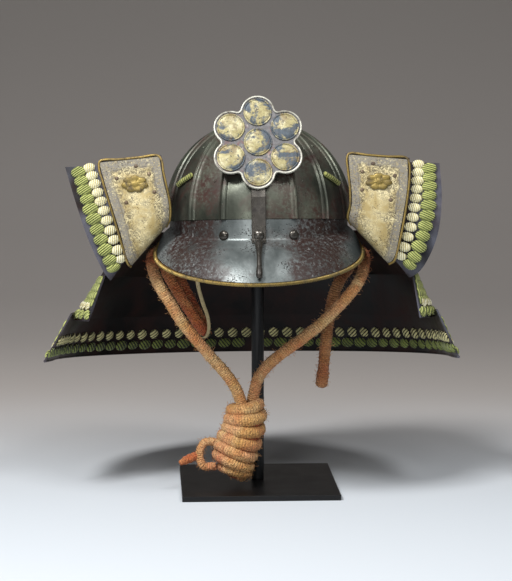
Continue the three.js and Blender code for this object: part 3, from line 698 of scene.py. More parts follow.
@dataclass(frozen=True)
class GiltLeather(Finish):
    """Gilded leather, rubbed grey along its border and speckled with age."""

    gilt: str
    pale: str
    rubbed: str
    speck: str

    def nodes(self, g: Graph) -> dict[str, object]:
        """Grain, rubbed border and dark speckles over the gilding; rim is millimetres from the edge."""
        at = g.place()
        rim = g.add("ShaderNodeAttribute", attribute_name="rim").outputs["Fac"]
        broad, fine = g.noise(at, 55.0, 6.0, 0.65, 0.4), g.noise(at, 480.0, 6.0, 0.7)
        rub = g.span(g.plus(rim, g.times(g.less(broad, 0.5), 22.0)), 12.5, 8.0)
        line = g.times(g.span(rim, 8.6, 9.2), g.span(rim, 10.4, 9.8))
        worms = g.veins(g.noise(at, 210.0, 5.0, 0.65, 1.2), 0.075, 0.01)
        crowd = g.span(g.plus(broad, g.span(rim, 26.0, 4.0, 0.0, 0.3)), 0.4, 0.68)
        specks, speck_height = Effect.pits(g, at, 520.0, 0.42, 60.0)
        tone = g.mix(g.span(broad, 0.36, 0.66), self.gilt, self.pale)
        tone = g.mix(g.times(g.times(worms, crowd), 0.8), tone, self.speck)
        tone = g.mix(g.times(rub, g.span(fine, 0.32, 0.56)), tone, self.rubbed)
        tone = g.mix(g.times(line, 0.35), tone, self.speck)
        return {
            "Base Color": g.mix(g.times(specks, 0.75), tone, self.speck),
            "Metallic": g.less(0.3, g.times(rub, 0.25), True),
            "Roughness": g.plus(0.42, g.times(fine, 0.3)),
            "Normal": g.bump(g.plus(g.times(speck_height, 0.5), g.times(fine, 0.6)), 0.3),
        }


@dataclass(frozen=True)
class Silk(Finish):
    """Braided silk lacing."""

    light: str
    # painted shade: tone of the grooves between the strands
    deep: str
    across: float = 435.0
    along: float = 0.0

    def nodes(self, g: Graph) -> dict[str, object]:
        """Strands with painted shade between them, soiled in places."""
        strands = Effect.twill(g, self.across, self.along, 0.06)
        fade = g.noise(g.place(), 70.0, 5.0, 0.6)
        # painted shade: the deep tone darkens the grooves between the strands
        lit = g.times(g.span(strands, 0.12, 0.62), g.span(fade, 0.25, 0.65, 0.55, 1.0))
        return {
            "Base Color": g.mix(lit, self.deep, self.light),
            "Roughness": g.plus(0.62, g.times(fade, 0.3)),
            "Sheen Weight": 0.15,
            "Normal": g.bump(strands, 0.4),
        }


@dataclass(frozen=True)
class Crepe(Finish):
    """Crinkled crepe over a soft core, its red faded to ochre."""

    ochre: str
    pale: str
    red: str
    # painted shade: tone of the hollows and troughs of the crinkle
    deep: str
    red_level: float = 0.55

    def nodes(self, g: Graph) -> dict[str, object]:
        """Pebbled crinkle with painted shade in its hollows, and faded red in patches, kept better under the
        visor.
        """
        at = g.place()
        pebble = g.span(g.cells(at, 380.0), 0.6, 0.1)
        crinkle, fuzz = g.noise(at, 520.0, 5.0, 0.65, 0.8), g.noise(at, 1700.0, 4.0, 0.7)
        fade = g.noise(at, 34.0, 5.0, 0.6, 0.4)
        ridge = Effect.twill(g, 60.0, 400.0, 0.22)
        kept = g.times(g.span(g.part(at, 2), 0.2, 0.275), g.span(fade, 0.62, 0.4))
        red = g.math("MAXIMUM", Effect.blotches(g, at, 30.0, self.red_level, 0.16), kept)
        # painted shade: the deep tone darkens the hollows of the crinkle and the troughs between the ridges
        hollow = g.times(g.less(1.0, pebble), g.span(crinkle, 0.6, 0.35))
        tone = g.mix(g.span(fade, 0.35, 0.66), self.ochre, self.pale)
        tone = g.mix(g.times(red, 0.8), tone, self.red)
        tone = g.mix(g.times(hollow, 0.6), tone, self.deep)
        tone = g.mix(g.times(g.span(ridge, 0.3, 0.0), 0.45), tone, self.deep)
        height = g.plus(g.times(pebble, 0.6), g.times(crinkle, 0.6))
        height = g.plus(height, g.times(ridge, 0.35))
        return {
            "Base Color": g.mix(g.times(g.span(fuzz, 0.52, 0.74), 0.4), tone, self.pale),
            "Roughness": g.plus(0.75, g.times(fuzz, 0.2)),
            "Sheen Weight": 0.06,
            "Sheen Roughness": 0.6,
            "Normal": g.bump(g.plus(height, g.times(fuzz, 0.35)), 2.0),
        }


@dataclass(frozen=True)
class PlainGrain(Finish):
    """One-coloured surface with fine grain, dust and wear."""

    tone: str
    dust: str
    roughness: float
    metallic: float
    dusting: float
    relief: float

    def nodes(self, g: Graph) -> dict[str, object]:
        """Fine grain with a little dust."""
        at = g.place()
        fine, broad = g.noise(at, 380.0, 6.0, 0.7), g.noise(at, 26.0, 4.0, 0.6)
        share = g.times(g.span(g.plus(fine, g.times(broad, 0.4)), 0.62, 0.95), self.dusting)
        return {
            "Base Color": g.mix(share, self.tone, self.dust),
            "Roughness": g.plus(self.roughness - 0.1, g.times(broad, 0.2)),
            "Metallic": self.metallic,
            "Normal": g.bump(fine, self.relief),
        }


@dataclass(frozen=True)
class Sweep(Finish):
    """Studio paper with painted light falloff: pale near the front and grey with painted shade behind."""

    near: str
    middle: str
    far: str

    def nodes(self, g: Graph) -> dict[str, object]:
        """Paper tone with painted shade that greys it with distance and height; open to a view from behind.
        """
        seen_from_behind = g.add("ShaderNodeNewGeometry").outputs["Backfacing"]
        at = g.place()
        # painted shade: the floor greys with distance and the backdrop with height, as the light falls off
        floor = g.mix(g.span(g.part(at, 1), -0.15, 0.75), self.near, self.middle)
        return {
            "Alpha": g.less(1.0, seen_from_behind),
            "Base Color": g.mix(g.span(g.part(at, 2), 0.0, 0.7), floor, self.far),
            "Roughness": 0.7,
        }


def metal(name: str, slot: Slot, tones: str, *values: float, **extra: object) -> AgedMetal:
    """Aged metal whose four tones are given in one row: bare, light, patch and dark."""
    return AgedMetal(name, slot, *tones.split(), *values, **extra)


# Scale and level of the patches, scale and size of the pits, roughness, metallic share and relief
IRON = metal("aged_iron", Slot.IRON, "3a3d35 676b5e 391f18 12100e", 20.0, 0.53, 380.0, 0.3, 0.36, 0.62, 0.22)
STEEL = metal(
    "visor_steel", Slot.STEEL, "4b5150 858b8a 2b1108 140905", 21.0, 0.61, 430.0, 0.45, 0.36, 0.5, 0.35,
    side_bias=0.26, fleck="8d908f", flecking=0.8,
)
DARK_STEEL = metal(
    "dark_steel", Slot.DARK_STEEL, "37342f 625e58 25201d 0e0d0c", 40.0, 0.57, 500.0, 0.25, 0.25, 0.8, 0.12
)
BROWN_STEEL = metal(
    "brown_steel", Slot.DARK_STEEL, "5b4a38 7a6a55 3a2a20 1c140f", 40.0, 0.55, 500.0, 0.25, 0.45, 0.4, 0.15
)
GILT = metal("worn_gilt", Slot.GILT, "7d6a38 a68c4e 463a24 231b10", 70.0, 0.56, 520.0, 0.3, 0.42, 0.6, 0.2)
BLOSSOM = metal(
    "blossom_gilt", Slot.GILT, "73622f a38d4c 46391f 1d160d", 90.0, 0.52, 520.0, 0.35, 0.46, 0.5, 0.3
)
SILVER = metal(
    "crest_bead", Slot.SILVER, "a9a89d d6d4c6 6b6358 3d3733", 60.0, 0.55, 520.0, 0.3, 0.42, 0.5, 0.2
)
CREST_GROUND = FlakedLeaf("crest_ground", Slot.SILVER, "9a948d", "6d6b6c", "6a332b", "a8a39c", 0.42)
CREST_LEAF = FlakedLeaf("crest_leaf", Slot.LEAF, "9a9166", "4c565f", "5a4228", "ded8b6", 0.532)
# the third tone is a painted reflection on the wing fronts
LACQUER = Lacquer("old_lacquer", Slot.LACQUER, "090605", "2e1510", "71737f", "6b5f50")
LEATHER = GiltLeather("gilt_leather", Slot.LEATHER, "a3905f", "d6c99e", "7a756b", "2e251b")
CREAM = Silk("cream_silk", Slot.CREAM, "f4f0d2", "b8ab70")
GREEN = Silk("green_silk", Slot.GREEN, "b6bb6c", "4d5624")
# painted shade: darker copies of the cream and green silk for the knots inside the bottom lame, which sit in
# shade
SHADED_CREAM = Silk("soiled_cream", Slot.CREAM, "d4cc92", "332f10", 290.0)
SHADED_GREEN = Silk("soiled_green", Slot.GREEN, "76813a", "0f1304", 290.0)
GREEN_BRAID = Silk("green_braid", Slot.GREEN, "b3b565", "4d5320", 260.0, 300.0)
CREPE = Crepe("faded_crepe", Slot.CREPE, "d49f58", "efcb90", "d0603a", "7d4c24")
CREPE_RED = Crepe("red_crepe", Slot.CREPE, "cb743a", "e0a264", "c2401f", "662815", 0.5)
CREPE_BROWN = Crepe("brown_crepe", Slot.CREPE, "9c6530", "c08a56", "9c4a28", "4f2b13")
THONG = PlainGrain("pale_thong", Slot.THONG, "b09f76", "6e5b3c", 0.7, 0.0, 0.6, 0.3)
STAND = PlainGrain("satin_black", Slot.STAND, "060607", "3a3a3c", 0.42, 0.3, 0.1, 0.1)
# painted shade: the middle and far tones paint the light falling off behind and above
PAPER = Sweep("studio_sweep", None, "d3d9df", "c6bfba", "a9a39e")


class Repeat:
    """Geometry Nodes trees for what repeats or follows a path."""

    kinds = {
        "Shape": "NodeSocketObject", "Finish": "NodeSocketMaterial", "Seed": "NodeSocketInt",
        "Geometry": "NodeSocketGeometry",
    }

    @classmethod
    def make(
        cls, name: str, carrier: Thing, values: dict[str, object], write: Callable[[Graph, dict], Socket]
    ) -> Thing:
        """Runs a tree on a carrier and keeps its result as a plain mesh.

        Args:
            name: of the new object.
            carrier: object that holds the points or path; it is removed.
            values: value by input name.
            write: writes the tree from its input sockets and gives the shape.

        Returns:
            The new object.
        """
        tree = bpy.data.node_groups.get(write.__name__) or cls.tree(write, list(values))
        modifier = carrier.modifiers.new("repeat", "NODES")
        modifier.node_group = tree
        for item in tree.interface.items_tree:
            if item.in_out == "INPUT" and item.name in values:
                modifier[item.identifier] = values[item.name]
        graph = bpy.context.evaluated_depsgraph_get()
        mesh = bpy.data.meshes.new_from_object(carrier.evaluated_get(graph), depsgraph=graph)
        bpy.data.objects.remove(carrier)
        mesh.name = name
        return link(name, mesh)

    @classmethod
    def tree(cls, write: Callable[[Graph, dict], Socket], inputs: Sequence[str]) -> bpy.types.NodeTree:
        """New tree that ends with realized instances in the finish."""
        tree = bpy.data.node_groups.new(write.__name__, "GeometryNodeTree")
        for key in ("Geometry", *inputs):
            kind = cls.kinds.get(key, "NodeSocketFloat")
            tree.interface.new_socket(key, in_out="INPUT", socket_type=kind)
        tree.interface.new_socket("Geometry", in_out="OUTPUT", socket_type=cls.kinds["Geometry"])
        g = Graph(tree)
        entry = g.add("NodeGroupInput")
        of = {key: entry.outputs[key] for key in ("Geometry", *inputs)}
        real = g.add("GeometryNodeRealizeInstances", {0: write(g, of)})
        painted = g.add("GeometryNodeSetMaterial", {0: real.outputs[0], "Material": of["Finish"]})
        g.add("NodeGroupOutput", {0: painted.outputs[0]})
        return tree

    @staticmethod
    def chance(g: Graph, low: object, high: object, seed: Socket | None = None) -> Socket:
        """Random value, or vector where the limits are tuples, for each point."""
        vector = isinstance(low, tuple)
        node = g.add("FunctionNodeRandomValue", data_type="FLOAT_VECTOR" if vector else "FLOAT")
        kind = "VECTOR" if vector else "VALUE"
        limits = [s for s in node.inputs if s.type == kind and s.name in ("Min", "Max")]
        g.feed(limits[0], low)
        g.feed(limits[1], high)
        if seed is not None:
            g.feed(node.inputs["Seed"], seed)
        return next(s for s in node.outputs if s.type == kind and s.enabled)

    @classmethod
    def studs(cls, g: Graph, of: dict) -> Socket:
        """A small shape on every point, turned to its facing and upward directions."""
        shape = g.add("GeometryNodeObjectInfo", {"Object": of["Shape"]})
        facing, upward = (
            g.add("GeometryNodeInputNamedAttribute", {"Name": key}, data_type="FLOAT_VECTOR").outputs[0]
            for key in ("facing", "upward")
        )
        turn = g.add("FunctionNodeAlignRotationToVector", {"Vector": facing}, axis="Z")
        feeds = {"Rotation": turn.outputs[0], "Vector": upward}
        turn = g.add("FunctionNodeAlignRotationToVector", feeds, axis="Y", pivot_axis="Z")
        uneven = of["Unevenness"]
        feeds = {
            "Points": of["Geometry"], "Instance": shape.outputs["Geometry"], "Rotation": turn.outputs[0],
            "Scale": cls.chance(g, g.less(1.0, uneven), g.plus(1.0, uneven), of["Seed"]),
        }
        return g.add("GeometryNodeInstanceOnPoints", feeds).outputs[0]

    @staticmethod
    def rope(g: Graph, of: dict) -> Socket:
        """Rim of twisted strands along a path."""
        path = g.add("GeometryNodeMeshToCurve", {0: of["Geometry"]})
        along = g.add("GeometryNodeSplineParameter")
        tilt = g.times(g.times(along.outputs["Length"], of["Turns"]), math.tau)
        twisted = g.add("GeometryNodeSetCurveTilt", {0: path.outputs[0], "Tilt": tilt})
        ring = g.add("GeometryNodeCurvePrimitiveCircle", {"Resolution": 16, "Radius": of["Radius"]})
        turn = g.times(along.outputs["Factor"], math.tau)
        swell = g.plus(1.0, g.times(g.math("COSINE", g.times(turn, of["Lobes"])), of["Relief"]))
        place = g.add("GeometryNodeInputPosition").outputs[0]
        spot = g.add("ShaderNodeVectorMath", {0: place, "Scale": swell}, operation="SCALE")
        lobed = g.add("GeometryNodeSetPosition", {0: ring.outputs[0], "Position": spot.outputs[0]})
        feeds = {0: twisted.outputs[0], 1: lobed.outputs[0], "Fill Caps": True}
        swept = g.add("GeometryNodeCurveToMesh", feeds)
        return g.add("GeometryNodeSetShadeSmooth", {0: swept.outputs[0]}).outputs[0]

    @classmethod
    def fibres(cls, g: Graph, of: dict) -> Socket:
        """Loose bent fibres over a surface."""
        feeds = {0: of["Geometry"], "Density": of["Density"], "Seed": of["Seed"]}
        spread = g.add("GeometryNodeDistributePointsOnFaces", feeds)
        long = of["Length"]
        bend, tip = (
            g.add("ShaderNodeCombineXYZ", {0: g.times(long, out), 2: g.times(long, up)}).outputs[0]
            for out, up in ((0.1, 0.55), (0.6, 0.75))
        )
        feeds = {"Resolution": 4, "Start": (0, 0, 0), "Middle": bend, "End": tip}
        hair = g.add("GeometryNodeCurveQuadraticBezier", feeds)
        ring = g.add("GeometryNodeCurvePrimitiveCircle", {"Resolution": 3, "Radius": of["Radius"]})
        thread = g.add("GeometryNodeCurveToMesh", {0: hair.outputs[0], 1: ring.outputs[0], "Fill Caps": True})
        turn = cls.chance(g, (-0.7, -0.7, 0.0), (0.7, 0.7, PHASES), of["Seed"])
        euler = g.add("FunctionNodeEulerToRotation", {0: turn})
        feeds = {0: spread.outputs["Rotation"], 1: euler.outputs[0]}
        spin = g.add("FunctionNodeRotateRotation", feeds, rotation_space="LOCAL")
        feeds = {
            "Points": spread.outputs[0], "Instance": thread.outputs[0],
            "Rotation": spin.outputs[0], "Scale": cls.chance(g, 0.25, 1.5),
        }
        return g.add("GeometryNodeInstanceOnPoints", feeds).outputs[0]


@dataclass
class Spot:
    """Place of one small repeated shape, in helmet millimetres."""

    at: np.ndarray
    facing: np.ndarray
    upward: np.ndarray


def studs(
    name: str, shape: Thing, spots: Sequence[Spot], finish: Finish, unevenness: float = 0.06, seed: int = 3
) -> Thing:
    """One piece of small shapes set on spots.

    Args:
        name: of the piece.
        shape: the small shape, in metres, facing +Z.
        spots: where they go, in the helmet's frame.
        finish: their finish.
        unevenness: share that their sizes vary.
        seed: of that variation.

    Returns:
        The dressed piece.
    """
    carrier = mesh_object(name + "_points", [s.at for s in spots], [], HELMET_PLACE, outward=False)
    turn = HELMET_PLACE.to_3x3()
    for key in ("facing", "upward"):
        layer = carrier.data.attributes.new(key, "FLOAT_VECTOR", "POINT")
        turned_to = [tuple(turn @ Vector(getattr(s, key))) for s in spots]
        layer.data.foreach_set("vector", np.array(turned_to, dtype=np.float32).ravel())
    values = {"Shape": shape, "Unevenness": unevenness, "Seed": seed, "Finish": finish.material()}
    return dress(Repeat.make(name, carrier, values, Repeat.studs), finish)


def rope(
    name: str, path: np.ndarray, radius: float, finish: Finish, stands_for: str = "",
    turns: float = 0.0, relief: float = 0.0,
) -> Thing:
    """Round rim, or one of twisted strands, along a path.

    Args:
        name: of the piece.
        path: points in millimetres of the helmet's frame.
        radius: of the rim in millimetres.
        finish: its finish.
        stands_for: CAD node that it replaces.
        turns: of the twist for each metre.
        relief: depth of its three lobes, as a share of the radius.

    Returns:
        The dressed piece.
    """
    mesh = bpy.data.meshes.new(name + "_path")
    edges = [(i, i + 1) for i in range(len(path) - 1)]
    mesh.from_pydata([HELMET_PLACE @ (Vector(p) * MM) for p in path], edges, [])
    values = {"Radius": radius * MM, "Turns": turns, "Lobes": 3.0, "Relief": relief}
    values["Finish"] = finish.material()
    return dress(Repeat.make(name, link(name + "_path", mesh), values, Repeat.rope), finish, stands_for)


@dataclass
class SmallShape:
    """Small shapes that are repeated, facing +Z; only their meshes are used.

    Width is across, height is along and rise is above the seat, in millimetres.
    """

    name: str
    width: float
    height: float
    rise: float

    def pillow(self) -> Thing:
        """Oval pillow of braided cord, flat below."""
        rings, segments, last_tilt = 5, 14, 1.75
        points = [vec(0, 0, self.rise)]
        for r in range(1, rings + 1):
            tilt = r / rings * last_tilt
            out = math.sin(tilt) ** 0.8
            x, y, z = out * self.width / 2, out * self.height / 2, self.rise * max(math.cos(tilt), -0.15)
            points += [vec(x * math.cos(t), y * math.sin(t), z) for t in angles(segments)]
        faces: list[Sequence[int]] = [(0, 1 + k, 1 + (k + 1) % segments) for k in range(segments)]
        *quads, _, base = ring_faces(rings, segments)
        faces += [[1 + k for k in face] for face in (*quads, base)]
        return self.put_by(points, faces, [(p[0] * MM, p[1] * MM) for p in points])

    def knot(self, slant: float, strands: int) -> Thing:
        """Oval lacing knot whose strands run slanted over it.

        Args:
            slant: angle of the strands.
            strands: number of them.

        Returns:
            The shape, its UV across and along the strands.
        """
        run, over = vec(math.cos(slant), math.sin(slant), 0), vec(-math.sin(slant), math.cos(slant), 0)
        scale = vec(2 / self.width, 2 / self.height, 0)
        a, b = run * scale, over * scale
        aa, ab, bb = float(a @ a), float(a @ b), float(b @ b)
        reach = 1 / math.sqrt(bb - ab ** 2 / aa)
        points: list[np.ndarray] = []
        uv: list[tuple[float, float]] = []
        rows, shares = strands * 4, (-1.0, -0.82, -0.45, 0.0, 0.45, 0.82, 1.0)
        for r in range(rows + 1):
            level = lerp(-0.985, 0.985, r / rows)
            t = level * reach
            wave = math.cos(math.pi * strands * level)
            half = (0.92 + 0.08 * wave) * math.sqrt(max(1 - level ** 2, 0.0) / aa)
            for share in shares:
                along = share * half - t * ab / aa
                p = over * t + run * along
                inside = max(1 - float((p * scale) @ (p * scale)), 0.0)
                lift = inside ** 0.55 * (0.84 + 0.16 * wave * min(1.0, 4 * inside))
                points.append(p + vec(0, 0, self.rise * (lift - (0.12 if inside < 0.04 else 0.0))))
                uv.append((t * MM, along * MM))
        n = len(shares)
        starts = [r * n + k for r in range(rows) for k in range(n - 1)]
        faces: list[Sequence[int]] = [(s, s + 1, s + n + 1, s + n) for s in starts]
        rim = list(range(n)) + [r * n + n - 1 for r in range(1, rows + 1)]
        rim += [rows * n + k for k in range(n - 2, -1, -1)] + [r * n for r in range(rows - 1, 0, -1)]
        return self.put_by(points, faces + [rim[::-1]], uv)

    def dome(self) -> Thing:
        """Domed rivet head."""
        radius, foot = self.width / 2, -0.3
        arc = [(radius * math.sin(a), self.rise * math.cos(a)) for a in np.linspace(0.0, math.pi / 2, 6)]
        profile = [(0.0, self.rise), *arc[1:], (radius * 0.9, foot), (0.0, foot)]
        return self.unlink(turned(self.name, profile, segments=14, place=WORLD_PLACE))

    def put_by(self, points: Points, faces: Sequence[Sequence[int]], uv: Points) -> Thing:
        """Makes the shape out of the scene."""
        return self.unlink(mesh_object(self.name, points, faces, WORLD_PLACE, uv))

    @staticmethod
    def unlink(shape: Thing) -> Thing:
        """Takes a shape out of the scene."""
        bpy.context.scene.collection.objects.unlink(shape)
        return shape


@dataclass
class Bowl:
    """Bowl of lapped iron plates with raised ribs, waist band and crown plate."""

    half_width: float = 104.7
    half_length: float = 118.0
    rise: float = 113.0
    fullness: float = 2.1
    plate: float = 1.6
    top_angle: float = math.radians(77)
    wide: float = math.radians(45)
    side_plates: int = 6
    lap: float = 2.0
    rib: float = 2.2
    crown_radius: float = 33.0
    rows: int = 26
    band_inset: float = 2.1
    band_thick: float = 2.0
    # Way in from the seam in millimetres, share of the lap and share of the rib, across an edge that laps
    lapping: Points = (
        (6.0, 0.0, 0.0), (4.8, 0.12, 0.0), (3.8, 0.7, 0.0), (2.8, 1.0, 0.0), (1.2, 1.0, 0.0),
        (0.2, 1.0, 0.06), (-0.6, 1.0, 0.38), (-1.1, 1.0, 0.75), (-1.5, 1.0, 1.0),
    )
    tucked: Points = ((2.5, 0.0, 0.0), (-1.2, 0.0, 0.0))

    @property
    def stretch(self) -> float:
        """Length of the bowl for its width."""
        return self.half_length / self.half_width

    def point(self, turn: float, rise: float, offset: float) -> np.ndarray:
        """Point of the bowl.

        Args:
            turn: from the front towards +X.
            rise: angle above the base plane.
            offset: outwards, in millimetres.

        Returns:
            The point in the helmet's frame.
        """
        spread = max(math.cos(rise), 0.0) ** (2 / self.fullness)
        height = max(math.sin(rise), 0.0) ** (2 / self.fullness)
        return vec(
            (self.half_width + offset) * spread * math.sin(turn),
            -(self.half_length + offset) * spread * math.cos(turn),
            (self.rise + offset) * height,
        )

    def plate_grid(
        self, start: float, end: float, start_laps: bool, end_laps: bool, middles: int
    ) -> np.ndarray:
        """Mid-surface of a plate between two seams.

        Args:
            start: turn of the first seam.
            end: turn of the second seam.
            start_laps: whether the first edge laps over its neighbour.
            end_laps: whether the second does.
            middles: columns between the edges.

        Returns:
            Grid of points.
        """
        margin, full_width = 7, 26
        grid = []
        for r in range(self.rows + 1):
            share = r / self.rows
            angle = share * self.top_angle
            radius = self.half_width * math.cos(angle) ** (2 / self.fullness)
            fade = 1 - share ** 4
            shrink = min(1.0, radius * (end - start) / full_width)

            def edge(seam: float, way: int, laps: bool) -> list[np.ndarray]:
                """Columns of one edge from the inside out."""
                columns = []
                for inward, lift, rib in self.lapping if laps else self.tucked:
                    turn = seam + way * inward * (shrink if inward > 0 else 1) / radius
                    columns.append(self.point(turn, angle, lift * self.lap + rib * self.rib * fade))
                return columns

            first, last = start + margin * shrink / radius, end - margin * shrink / radius
            turns = [lerp(first, last, m / (middles - 1)) for m in range(middles)]
            middle = [self.point(turn, angle, 0.0) for turn in turns]
            grid.append(edge(start, 1, start_laps)[::-1] + middle + edge(end, -1, end_laps))
        return np.array(grid)

    def dome_arc(self, radius: float, offset: float, steps: int = 10) -> list[tuple[float, float]]:
        """Arc of the crown out to a radius, as radius and height pairs."""
        arc = []
        for i in range(steps + 1):
            r = radius * i / steps
            share = 1 - (r / (self.half_width + offset)) ** self.fullness
            arc.append((r, (self.rise + offset) * share ** (1 / self.fullness)))
        return arc

    def dome_shell(self, radius: float, under: float, thick: float) -> list[tuple[float, float]]:
        """Profile of a shell that follows the crown."""
        return self.dome_arc(radius, under + thick) + self.dome_arc(radius, under)[::-1]

    def build(self) -> None:
        """Makes and dresses the bowl's pieces."""
        half = self.wide / 2
        width = (math.pi - self.wide) / self.side_plates
        plates = {
            "front": (-half, half, True, True, 12),
            "back": (math.pi - half, math.pi + half, False, False, 12),
        }
        for i in range(self.side_plates):
            near = half + i * width
            plates[f"left_{i + 1}"] = (-near - width, -near, True, False, 5)
            plates[f"right_{i + 1}"] = (near, near + width, False, True, 5)
        for word, sizes in plates.items():
            plate = wall(f"iron_{word}", self.plate_grid(*sizes), self.plate)
            dress(plate, IRON, f"bowl_plate_{word}")
        outer = self.half_width - self.band_inset
        inner, low, high = outer - self.band_thick, -20, 8
        band = [(inner, low), (outer, low), (outer, high), (inner, high)]
        dress(turned("waist_band", band, segments=96, stretch=self.stretch), IRON, "bowl_waist_band")
        crown = self.dome_shell(self.crown_radius, self.lap + self.plate / 2 + CLEAR, self.plate)
        dress(turned("crown_plate", crown, segments=60, stretch=self.stretch), IRON, "bowl_crown_plate")
        self.add_rivets()

    def add_rivets(self) -> None:
        """Small rivet heads on the plates and round the crown plate."""
        first, step, crown_rivets, crown_inset = 22.5, 22.5, 14, 5
        places = [(-12.0, 20.0), (29.5, 20.5), (-29.0, 21.0), (12.5, 20.0)]
        for plates, beyond, rise in ((range(2, 6), 9, 13.0), (range(1, 6), 11, 46.0)):
            places += [(s * (first + step * i + beyond), rise) for s in (-1, 1) for i in plates]
        spots = []
        for turn, rise in places:
            t, r = math.radians(turn), math.radians(rise)
            outward = unit(self.point(t, r, 5.0) - self.point(t, r, 0.0))
            spots.append(Spot(self.point(t, r, self.plate / 2), outward, vec(0, 0, 1)))
        under = self.lap + self.plate * 1.5 + CLEAR
        radius, z = self.dome_arc(self.crown_radius - crown_inset, under)[-1]
        for k in range(crown_rivets):
            t = 2 * math.pi * (k + 0.5) / crown_rivets
            at = vec(radius * math.sin(t), -self.stretch * radius * math.cos(t), z)
            spots.append(Spot(at, unit(vec(at[0] * 0.35, at[1] * 0.35, 70)), vec(0, 1, 0)))
        studs("bowl_rivets", SmallShape("plate_rivet", 3.4, 3.4, 1.0).dome(), spots, IRON)


@dataclass
class Visor:
    """Steel visor with its flange, gilt twisted rim and domed rivets."""

    bowl: Bowl
    thick: float = 2.0
    root_arc: float = math.radians(72)
    rim_arc: float = math.radians(99)
    top: float = -0.6
    flange: float = -25.0
    flange_end: float = -8.0
    half_width: float = 114.5
    middle_y: float = -56.0
    reach: float = 99.0
    side_z: float = -35.0
    drop: float = 35.5
    bulge: float = 3.0
    rim_radius: float = 1.9
    rim_gap: float = 1.5
    rivet_radius: float = 5.7
    rivet_z: float = -18.0
    columns: int = 89
    # Level down the plate and how far the hollow of the fold is filled there, in millimetres
    levels: Points = (
        (-1, 0), (-0.7, 0), (-0.4, 0.2), (-0.15, 0.75), (-0.04, 1.35), (0.02, 1.5), (0.07, 1.25), (0.15, 0.8),
        (0.25, 0.35), (0.36, 0), (0.48, 0), (0.6, 0), (0.72, 0), (0.84, 0), (0.93, 0), (1, 0),
    )

    @property
    def flange_offset(self) -> float:
        """Offset of the flange from the bowl's base outline."""
        return CLEAR - self.bowl.band_inset + self.thick / 2

    def point(self, share: float, down: float) -> np.ndarray:
        """Point of the visor's mid-surface.

        Args:
            share: from -1 at the left end to 1 at the right end.
            down: -1 at the flange's top, 0 at the fold, 1 at the rim.

        Returns:
            The point in the helmet's frame.
        """
        turn = share * self.root_arc
        root = self.bowl.point(turn, 0.0, self.flange_offset)
        rim_turn = share * self.rim_arc
        rim = vec(
            self.half_width * math.sin(rim_turn),
            self.middle_y - self.reach * math.cos(rim_turn),
            self.side_z - self.drop * math.cos(rim_turn),
        )
        fold = lerp(self.flange, self.flange_end, abs(share) ** 3)
        if down < 0:
            return vec(root[0], root[1], lerp(fold, self.top, -down))
        root[2] = fold
        swell = self.bulge * math.sin(math.pi * down)
        return root + (rim - root) * down + swell * vec(math.sin(turn), -math.cos(turn), 1)

    def away(self, p: np.ndarray, share: float, climb: float) -> np.ndarray:
        """Direction out from the visor's middle, so far level and so far up."""
        return unit((p - vec(0, self.middle_y, 0)) * vec(1, 1, 0)) * share + vec(0, 0, climb)

    def build(self) -> None:
        """Makes and dresses the visor's pieces."""
        grid = []
        for down, fill in self.levels:
            row = [self.point(share, down) for share in np.linspace(-1, 1, self.columns)]
            grid.append([p + fill * self.away(p, 0.8, 0.6) for p in row])
        dress(wall("visor_plate", np.array(grid), self.thick), STEEL, "visor")
        self.add_rim()
        self.add_rivets()

    def add_rim(self) -> None:
        """Twisted gilt rim round the lower edge and up both ends."""
        outward = self.rim_radius + self.rim_gap

        def rise(share: float) -> list[np.ndarray]:
            """Rim centres behind an end."""
            behind = vec(-share * 1.2, outward + self.thick + CLEAR, 0)
            return [self.point(share, d) + behind for d in (0.62, 0.36)]

        edge = [self.point(share, 1.0) for share in np.linspace(-1, 1, 23)]
        lower = [p + outward * self.away(p, 0.8, -0.6) for p in edge]
        path = SmoothPath(rise(-1)[::-1] + lower + rise(1)).spaced(420)
        rope("visor_gilt_rim", path, self.rim_radius, GILT, "visor_rim", turns=170, relief=0.22)

    def add_rivets(self) -> None:
        """Three large domed rivets on the flange and on the strap's foot."""
        shares = [(0, 0), (1, 0), (1, 0.7), (0.95, 1.5), (0.8, 2.4), (0.55, 3.1), (0.28, 3.5), (0, 3.6)]
        profile = [(self.rivet_radius * share, z) for share, z in shares]
        face = self.flange_offset + self.thick / 2
        for word, angle, seat in (("left", -21.5, face), ("right", 21.5, face), ("centre", 0.0, 4.1)):
            turn = math.radians(angle)
            at = self.bowl.point(turn, 0.0, seat + CLEAR)
            at[2] = self.rivet_z
            out = vec(math.sin(turn) / self.bowl.half_width, -math.cos(turn) / self.bowl.half_length, 0)
            facing = Vector(unit(out)).to_track_quat("Z", "Y").to_matrix().to_4x4()
            place = HELMET_PLACE @ Matrix.Translation(Vector(at) * MM) @ facing
            dome = turned(f"visor_dome_{word}", profile, segments=28, place=place)
            dress(dome, DARK_STEEL, f"visor_rivet_{word}")


